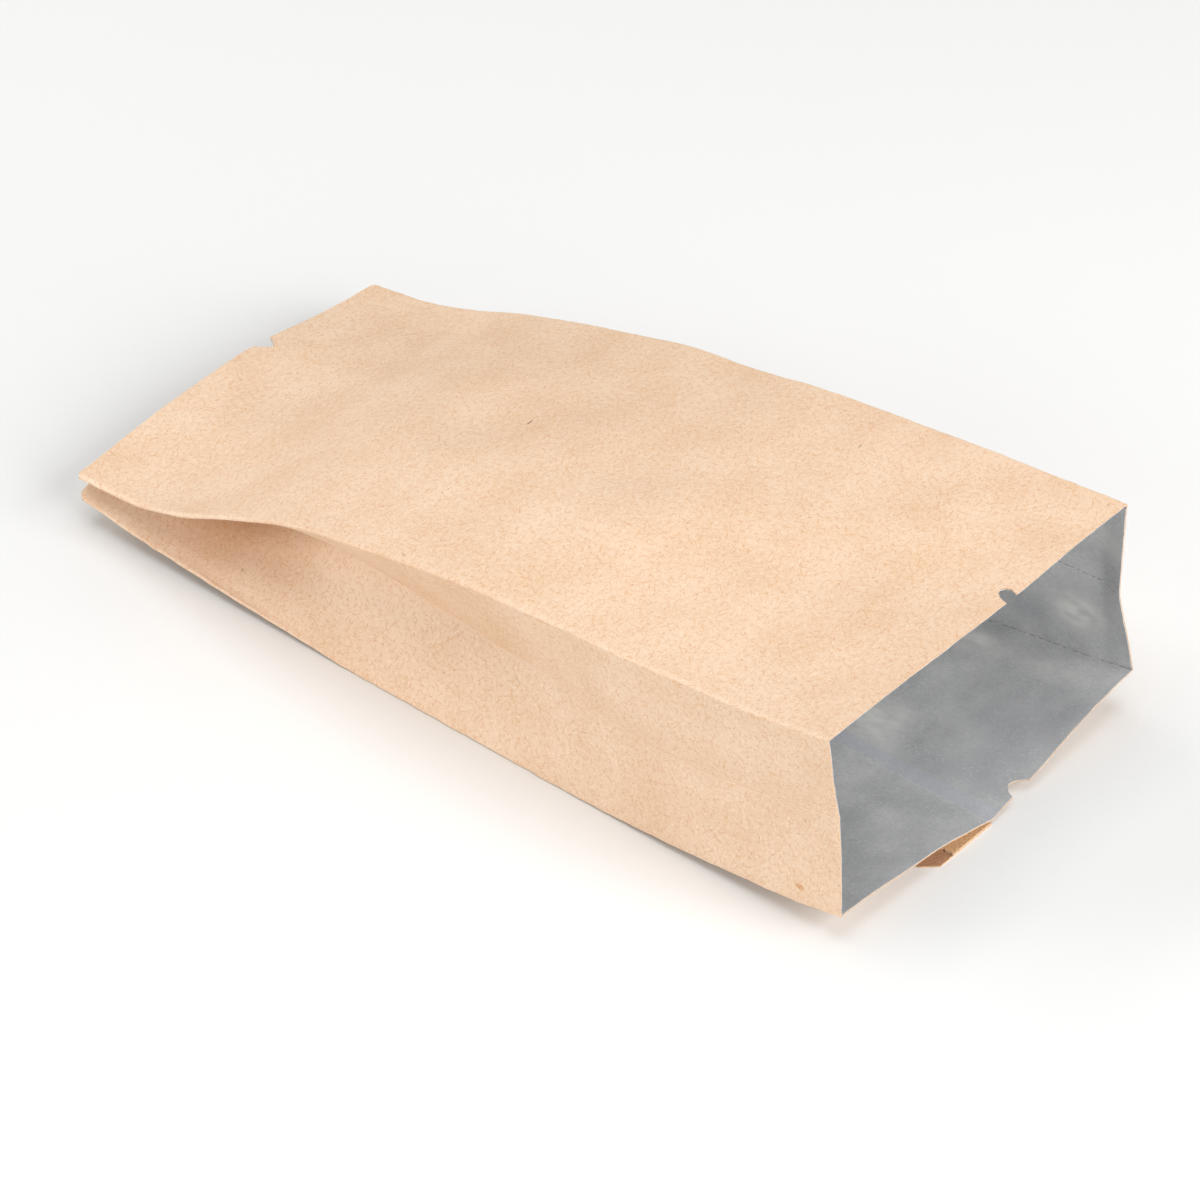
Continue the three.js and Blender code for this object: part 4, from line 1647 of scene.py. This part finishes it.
@dataclass
class SeamFin:
    """The glued seam's fin: two layers folded flat to the near side under the back panel."""

    laminate: Laminate
    thickness: float = 0.31
    lower_lift: float = 0.02
    upper_lift: float = 0.35
    upper_width: float = 11.6
    lower_width: float = 17.9
    clipped_width: float = 15.3
    clip_length: float = 3.0
    fine_length: float = 6.0
    fine_stations: int = 41
    root_near: float = -0.7
    root_far: float = -0.4
    torn: Ripple = Ripple(0.17, 0.35, 3.0, 31)
    columns: int = 16
    sheet_root: float = 400.0  # on the sheet's UV map, clear of the tube
    node: str = "kraft_shell"
    slot: str = "kraft_paper"

    def build(self, materials: list[bpy.types.Material]) -> bpy.types.Object:
        """Build and dress the fin.

        Args:
            materials: The finishes, in their order.

        Returns:
            The piece.
        """
        plan = MeshPlan()
        fine = np.linspace(0.0, self.fine_length, self.fine_stations)
        s = np.unique(np.concatenate([self.laminate.s, fine]).round(4))
        clip = np.minimum(s / self.clip_length, 1.0)
        lower_edge = -lerp(self.clipped_width, self.lower_width, clip)
        upper_edge = -self.upper_width + self.torn(np.stack([s, 0 * s], axis=-1))
        # The lower layer's top is the darker brown, partly painted shade under the back panel.
        self._slab(plan, s, lower_edge, self.root_far, self.lower_lift, Finish.BROWN_EDGE_AND_SHADE)
        self._slab(plan, s, upper_edge, self.root_near, self.upper_lift, Finish.TORN_LAYER)
        return dress(plan.build("glued_seam_fin", materials), self.node)

    def _slab(
        self, plan: MeshPlan, s: Array, edge: Array, root: float, lift: float, top: Finish
    ) -> None:
        """Add one layer of the fin as a thin closed slab.

        Args:
            plan: The mesh to add to.
            s: Distances from the mouth.
            edge: Y of the layer's long free edge, for each distance.
            root: Y of the layer's root.
            lift: Height of its underside over the fin's own underside.
            top: Finish of its upper face.
        """
        form = self.laminate.form
        part = np.linspace(0.0, 1.0, self.columns)
        y = lerp(edge[:, None], root, part)
        x = form.seam_x(s)[:, None] + 0 * y
        base = form.fin_base(y, s[:, None]) + lift
        low = plan.add_points(np.stack([x, y, base], axis=-1))
        high = plan.add_points(np.stack([x, y, base + self.thickness], axis=-1))
        u = self.sheet_root + y[0]
        plan.add_grid(high, u, s, top.value, is_flipped=True)
        plan.add_grid(low, u, s, Finish.KRAFT.value)
        pale, pair = Finish.PALE_EDGE.value, s[[0, 0]]
        plan.add_grid(np.stack([low[0], high[0]]), u, pair, pale)
        plan.add_grid(np.stack([low[-1], high[-1]]), u, pair, pale, is_flipped=True)
        sides = np.array([0.0, self.thickness])
        plan.add_grid(np.stack([low[:, 0], high[:, 0]], axis=1), sides, s, pale, is_flipped=True)
        plan.add_grid(np.stack([low[:, -1], high[:, -1]], axis=1), sides, s, pale)


# ---- Studio ----


@dataclass(frozen=True)
class Lamp:
    """A square area lamp."""

    name: str
    place: tuple[float, float, float]
    size: float
    power: float

    def hang(self, target: Vector) -> None:
        """Add the lamp to the scene.

        Args:
            target: The place it faces.
        """
        data = bpy.data.lights.new(self.name, "AREA")
        data.size = self.size
        data.energy = self.power
        lamp = bpy.data.objects.new(self.name, data)
        lamp.location = self.place
        lamp.rotation_mode = "QUATERNION"
        lamp.rotation_quaternion = (target - Vector(self.place)).to_track_quat("-Z", "Y")
        bpy.context.scene.collection.objects.link(lamp)


@dataclass
class Studio:
    """A plain pale floor, soft light and the camera at the photo's angle."""

    azimuth: float = 43.47
    elevation: float = 38.80
    roll: float = -2.96
    distance: float = 961.3
    target: tuple[float, float, float] = (-1.3, 3.59, 0.0)
    focal_pixels: float = 5000.0
    photo_pixels: float = 1200.0
    sensor: float = 36.0
    clip: tuple[float, float] = (0.05, 20.0)
    floor_half: float = 3.0
    floor_tone: Colour = paint(228, 228, 227)
    dome_strength: float = 0.02
    lamp_target: tuple[float, float, float] = (0.0, 0.0, 0.01)
    lamps: tuple[Lamp, ...] = (
        Lamp("front_right_low", (0.85, -0.85, 0.28), 0.6, 2.6),
        Lamp("front_left_low", (-0.85, -0.85, 0.28), 0.6, 8.4),
        Lamp("right", (1.15, 0.05, 0.5), 1.1, 23.0),
        Lamp("left", (-1.1, 0.0, 0.6), 1.0, 6.4),
        Lamp("above", (0.0, 0.0, 1.2), 1.1, 8.8),
    )

    def place_camera(self) -> None:
        """Place the camera where the photo was taken from."""
        a, e, r = (math.radians(v) for v in (self.azimuth, self.elevation, self.roll))
        back = Vector((math.sin(a) * math.cos(e), -math.cos(a) * math.cos(e), math.sin(e)))
        level = (-back).cross(Vector((0.0, 0.0, 1.0))).normalized()
        upright = level.cross(-back)
        right = level * math.cos(r) + upright * math.sin(r)
        up = upright * math.cos(r) - level * math.sin(r)
        data = bpy.data.cameras.new("photo_camera")
        data.sensor_width = self.sensor
        data.lens = self.sensor * self.focal_pixels / self.photo_pixels
        data.clip_start, data.clip_end = self.clip
        camera = bpy.data.objects.new("photo_camera", data)
        bpy.context.scene.collection.objects.link(camera)
        camera.rotation_mode = "QUATERNION"
        camera.rotation_quaternion = Matrix((right, up, back)).transposed().to_quaternion()
        camera.location = (Vector(self.target) + back * self.distance) * MM
        bpy.context.scene.camera = camera

    def lay_floor(self) -> None:
        """Lay the pale floor under the bag."""
        half = self.floor_half
        mesh = bpy.data.meshes.new("studio_floor")
        corners = [(-half, -half, 0.0), (half, -half, 0.0), (half, half, 0.0), (-half, half, 0.0)]
        mesh.from_pydata(corners, [], [(0, 1, 2, 3)])
        mesh.materials.append(Graph("studio_floor").finish({
            "Base Color": self.floor_tone, "Roughness": 0.9, "Specular IOR Level": 0.1,
        }))
        floor = bpy.data.objects.new("studio_floor", mesh)
        bpy.context.scene.collection.objects.link(floor)

    def light(self) -> None:
        """Set a soft dome and the broad lamps round the bag."""
        world = bpy.data.worlds.new("studio_dome")
        world.use_nodes = True
        background = world.node_tree.nodes["Background"]
        background.inputs["Color"].default_value = (1.0, 1.0, 1.0, 1.0)
        background.inputs["Strength"].default_value = self.dome_strength
        bpy.context.scene.world = world
        for lamp in self.lamps:
            lamp.hang(Vector(self.lamp_target))
        scene = bpy.context.scene
        scene.view_settings.view_transform = "Standard"
        scene.view_settings.look = "None"


# ---- Main ----


def report(piece: bpy.types.Object) -> None:
    """Log a finished piece with its size."""
    triangles = sum(len(face.vertices) - 2 for face in piece.data.polygons)
    size = " x ".join(f"{value / MM:.1f}" for value in piece.dimensions)
    LOG.info("%s: %d triangles, %s mm", piece.name, triangles, size)


def main() -> None:
    """Build the bag's pieces in order, then the studio."""
    logging.basicConfig(level=logging.INFO, format="%(name)s: %(message)s")
    studio = Studio()
    studio.place_camera()
    form = BagForm()
    laminate = Laminate(form)
    handling = Handling(laminate)
    cuts = EdgeCuts(form)
    paper = [
        KraftPaper().material(),
        CutEdge("paper_cut_edge", paint(202, 170, 138)).material(),
        # Brown of the cut edges, and of the fin's lower layer, where it is partly painted shade.
        CutEdge("paper_brown_edge_and_painted_shade", paint(175, 135, 104)).material(),
        CutEdge("paper_torn_layer", paint(212, 172, 130), 0.66, 0.5).material(),
    ]
    foil = FoilLaminate().material()
    report(KraftShell(handling).build(cuts, paper))
    report(FoilLining(handling).build(cuts, foil))
    report(SeamFin(laminate).build(paper))
    studio.lay_floor()
    studio.light()


if __name__ == "__main__":
    main()
